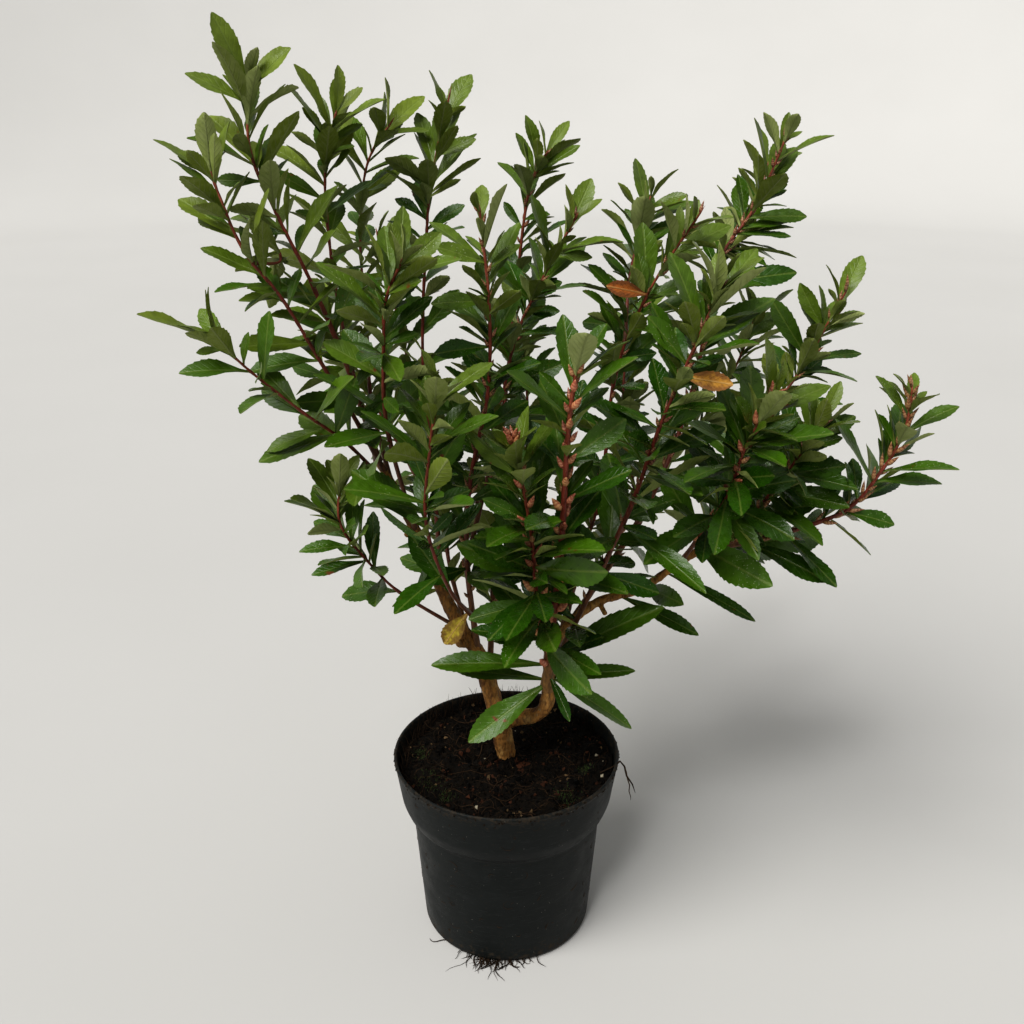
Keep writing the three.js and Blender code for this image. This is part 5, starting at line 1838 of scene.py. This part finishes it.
@dataclass(frozen=True)
class BudScales:
    """A winter bud: shiny red-brown scales with tan edges."""

    name: str = "bud_scales"
    red: Colour = (0.390, 0.085, 0.058)
    tan: Colour = (0.420, 0.205, 0.080)
    brown: Colour = (0.250, 0.075, 0.036)
    edge: Colour = (0.500, 0.300, 0.150)

    def make(self) -> Material:
        """Puts a tan edge where each ring of scales ends, wavy round the bud."""
        r = Recipe(self.name, 0.5)
        wavy = r.times(r.math("PINGPONG", r.times(r.v, 3.0), 0.5), 0.12)
        run = r.math("FRACT", r.times(r.total(r.u, wavy), 5.0))
        rim = r.between(run, 0.35, 0.75)
        colour = r.blend(r.between(r.total(r.hue, r.times(r.age, 0.35)), 0.3, 0.9), self.tan, self.red)
        colour = r.blend(r.between(run, 0.0, 0.6), self.brown, colour)
        colour = r.shade(colour, r.total(0.3, r.times(r.value, 0.95)))
        colour = r.blend(r.times(rim, 0.45), colour, self.edge)
        return r.finish(colour, r.between(r.noise(0.8), 0.2, 0.8, 0.35, 0.6), run, 0.2, 0.6)


@dataclass(frozen=True)
class Bark:
    """The old wood: orange-brown bark, with dark patches, grey scurf and fine cracks along it."""

    name: str = "old_bark"
    orange: Colour = (0.260, 0.125, 0.030)
    brown: Colour = (0.090, 0.038, 0.012)
    pale: Colour = (0.360, 0.220, 0.075)
    scurf: Colour = (0.200, 0.170, 0.100)

    def make(self) -> Material:
        """Mixes patches, flakes and cracks, which are noises stretched up the wood."""
        r = Recipe(self.name, 0.3)
        patch = r.noise(9.0, 4.0, (1, 1, 1.8), 0.6)
        flake = r.noise(1.8, 4.0, (1, 1, 2.5), 0.6)
        crack = r.between(r.noise(1.3, 3.0, (1, 1, 5)), 0.36, 0.44, 1.0, 0.0)
        colour = r.ramp(patch, (0.34, self.brown), (0.5, self.orange), (0.72, self.pale))
        colour = r.shade(colour, r.between(flake, 0.25, 0.75, 0.55, 1.35))
        colour = r.blend(r.between(r.noise(3.5, 5.0), 0.58, 0.72, 0.0, 0.45), colour, self.scurf)
        colour = r.blend(r.times(crack, 0.65), colour, self.brown)
        height = r.total(flake, r.times(crack, -0.7))
        return r.finish(colour, r.between(flake, 0.2, 0.8, 0.62, 0.9), height, 0.5, 0.9)


@dataclass(frozen=True)
class PotPlastic:
    """Dark grey moulded plastic, scuffed, with dust, splashes and soil along its rim and foot."""

    name: str = "pot_plastic"
    plain: Colour = (0.0046, 0.0063, 0.0060)
    worn: Colour = (0.018, 0.020, 0.020)
    soil: Colour = (0.040, 0.030, 0.020)
    speck: Colour = (0.220, 0.210, 0.180)
    rim_height: float = 130.0

    def make(self) -> Material:
        """Lays scratches round the pot, a dust film, soil near the rim and foot, and fine specks."""
        r = Recipe(self.name, 0.16)
        height = r.add("ShaderNodeSeparateXYZ", r.place).outputs[2]
        film = r.noise(16.0, 5.0, rough=0.65)
        scratch = r.between(r.noise(1.1, 2.0, (9, 9, 0.6), warp=0.6), 0.655, 0.70)
        scuff = r.times(r.between(r.noise(5.0, 6.0, (3, 3, 1), 0.7), 0.52, 0.7), 0.35)
        colour = r.blend(r.between(film, 0.35, 0.75, 0.0, 0.35), self.plain, self.worn)
        colour = r.blend(r.math("MAXIMUM", r.times(scratch, 0.5), scuff), colour, self.worn)
        rim = r.between(height, (self.rim_height - 14) * MM, self.rim_height * MM)
        foot = r.between(height, 0.0, 22 * MM, 1.0, 0.0)
        grime = r.total(r.noise(3.0, 6.0, rough=0.7), r.times(r.math("MAXIMUM", rim, foot), 0.16))
        colour = r.blend(r.between(grime, 0.6, 0.78, 0.0, 0.8), colour, self.soil)
        specks = r.between(r.cells(5.0), 0.035, 0.07, 1.0, 0.0)
        colour = r.blend(r.times(specks, 0.7), colour, self.speck)
        rough = r.total(r.between(film, 0.3, 0.7, 0.42, 0.58), r.times(r.between(grime, 0.6, 0.78), 0.3))
        relief = r.total(r.times(scratch, -0.5), r.times(r.noise(0.6), 0.25), scuff)
        return r.finish(colour, rough, relief, 0.2, 0.5)


@dataclass(frozen=True)
class Peat:
    """Moist peat: near black and fibrous. Crumbs of other stuff in it are picked by their hue luck."""

    name: str = "peat"
    black: Colour = (0.0022, 0.0017, 0.0011)
    brown: Colour = (0.0085, 0.0055, 0.0030)
    rust: Colour = (0.045, 0.017, 0.008)
    tan: Colour = (0.110, 0.072, 0.036)
    pale: Colour = (0.340, 0.300, 0.220)
    fibre: Colour = (0.050, 0.028, 0.014)

    def make(self) -> Material:
        """Mixes black and brown by noise. The tone's age is 0 on the plug, 1 on crumbs, 1/2 on fibres."""
        r = Recipe(self.name, 0.12)
        lump = r.noise(2.2, 6.0, rough=0.65)
        ground = r.blend(r.between(lump, 0.38, 0.7), self.black, self.brown)
        crumb = r.ramp(
            r.hue, (0.0, self.black), (0.45, self.brown), (0.90, self.rust), (0.965, self.tan),
            (0.993, self.pale), step=True,
        )
        crumb = r.shade(crumb, r.total(0.6, r.times(r.value, 0.6)))
        thread = r.blend(r.hue, self.brown, self.fibre)
        colour = r.blend(r.between(r.age, 0.2, 0.5), ground, thread)
        colour = r.blend(r.between(r.age, 0.6, 0.9), colour, crumb)
        return r.finish(colour, r.between(lump, 0.2, 0.8, 0.75, 0.98), lump, 1.4, 1.0)


@dataclass(frozen=True)
class Moss:
    """Moss: yellow-green blades, browner by luck."""

    name: str = "moss"
    green: Colour = (0.022, 0.050, 0.006)
    brown: Colour = (0.026, 0.026, 0.008)

    def make(self) -> Material:
        """Mixes green and brown by the blade's luck and by noise."""
        r = Recipe(self.name, 0.3)
        grain = r.noise(1.2, 3.0)
        colour = r.blend(r.hue, self.green, self.brown)
        colour = r.shade(colour, r.between(grain, 0.2, 0.8, 0.6, 1.4))
        return r.finish(colour, r.between(grain, 0.2, 0.8, 0.7, 0.95), grain, 0.3, 0.6)


@dataclass
class Studio:
    """The floor, the soft light and the camera, in millimetres and degrees."""

    floor_flat: float = 3500.0
    floor_reach: float = 6500.0
    floor_rise: float = 2600.0
    floor_depth: float = 40.0
    floor_pale: Colour = (0.500, 0.494, 0.478)
    floor_dark: Colour = (0.470, 0.464, 0.448)
    sun_towards: Point = (0.8, 0.75, -1.25)
    sun_colour: Colour = (1.0, 0.985, 0.96)
    sun_power: float = 2.8
    sun_angle: float = 40.0
    glint_towards: Point = (0.25, 0.8, -1.1)
    glint_colour: Colour = (1.0, 1.0, 1.0)
    glint_power: float = 0.7
    glint_angle: float = 9.0
    camera_at: Point = (3.7, -642.0, 565.0)
    camera_pitch: float = 22.3
    lens: float = 39.84
    sensor: float = 36.0
    ambient: float = 0.38
    sky_colour: Colour = (0.98, 0.99, 1.0)

    def floor(self) -> None:
        """Adds the pale floor: flat to a radius, then rising as a wide bowl, a slab's depth thick.

        Beyond the flat the height is rise w^2 (3 - 2 w), where w runs from 0 to 1 out to the edge.
        """
        w = np.linspace(0, 1, 25)
        out = self.floor_flat + (self.floor_reach - self.floor_flat) * np.concatenate([[-1.0], w])
        out[0] = self.floor_flat * 0.3
        top = np.concatenate([[0.0], self.floor_rise * w * w * (3 - 2 * w)])
        r = np.concatenate([[0.0], out, out[::-1], [0.0]])
        z = np.concatenate([[0.0], top, top[::-1] - self.floor_depth, [-self.floor_depth]])[::-1]
        r, rows = r[::-1], len(z)
        centres = np.column_stack([np.zeros((rows, 2)), z])
        surface = Surface()
        surface.add(*sweep(centres, X_AXIS, Y_AXIS, r, 96), PLAIN_TONE)
        r = Recipe("pale_floor", 0.1)
        cloud = r.noise(400.0, 2.0)
        colour = r.blend(cloud, self.floor_dark, self.floor_pale)
        surface.to_object("floor", [r.finish(colour, 0.85, cloud, 0.01, 0.1)])

    def light(self, name: str, towards: Point, power: float, angle: float, colour: Colour) -> None:
        """Adds light from one side of the sky, as soft as the angle that its source fills."""
        data = bpy.data.lights.new(name, "SUN")
        data.angle = math.radians(angle)
        data.energy = power
        data.color = colour
        lamp = bpy.data.objects.new(name, data)
        bpy.context.scene.collection.objects.link(lamp)
        lamp.location = -Vector(towards)
        lamp.rotation_euler = Vector(towards).to_track_quat("-Z", "Y").to_euler()

    def build(self) -> None:
        """Adds floor, lights, backdrop and camera."""
        self.floor()
        self.light("window", self.sun_towards, self.sun_power, self.sun_angle, self.sun_colour)
        self.light("glint", self.glint_towards, self.glint_power, self.glint_angle, self.glint_colour)
        world = bpy.data.worlds.new("backdrop")
        world.use_nodes = True
        sky = world.node_tree.nodes["Background"]
        sky.inputs["Color"].default_value = (*self.sky_colour, 1)
        sky.inputs["Strength"].default_value = self.ambient
        bpy.context.scene.world = world
        bpy.context.scene.view_settings.view_transform = "Standard"
        bpy.context.scene.view_settings.look = "Medium High Contrast"
        data = bpy.data.cameras.new("camera")
        data.lens = self.lens
        data.sensor_width = self.sensor
        camera = bpy.data.objects.new("camera", data)
        bpy.context.scene.collection.objects.link(camera)
        camera.location = Vector(self.camera_at) * MM
        camera.rotation_euler = (math.radians(90 - self.camera_pitch), 0, 0)
        bpy.context.scene.camera = camera


def main() -> None:
    """Builds the plant piece by piece and reports each."""
    for stem in STEMS.values():
        stem.grow_from(STEMS)
    foliage = Foliage(STEMS)
    foliage.grow()
    bark, peat, moss = Bark().make(), Peat().make(), Moss().make()
    pot = NurseryPot()
    pieces = [pot.build(PotPlastic().make())]
    pieces += PeatPlug(pot).build(peat, moss)
    pieces.append(Trunk(STEMS).build(bark))
    kinds = (StemSkin, LeafFace, LeafBack, BudScales, WitheredLeaf)
    finishes = [kind().make() for kind in kinds]
    for number, (name, leaves) in enumerate([*foliage.leaves.items(), (SPUR_LIMB, foliage.spurs)]):
        pieces.append(LeafyShoot(STEMS[name], leaves, number).build(finishes))
    for piece in pieces:
        piece.data.calc_loop_triangles()
        log.info("%s: %d triangles", piece.name, len(piece.data.loop_triangles))
    log.info("triangles in all: %d", sum(len(piece.data.loop_triangles) for piece in pieces))
    Studio().build()


if __name__ == "__main__":
    main()
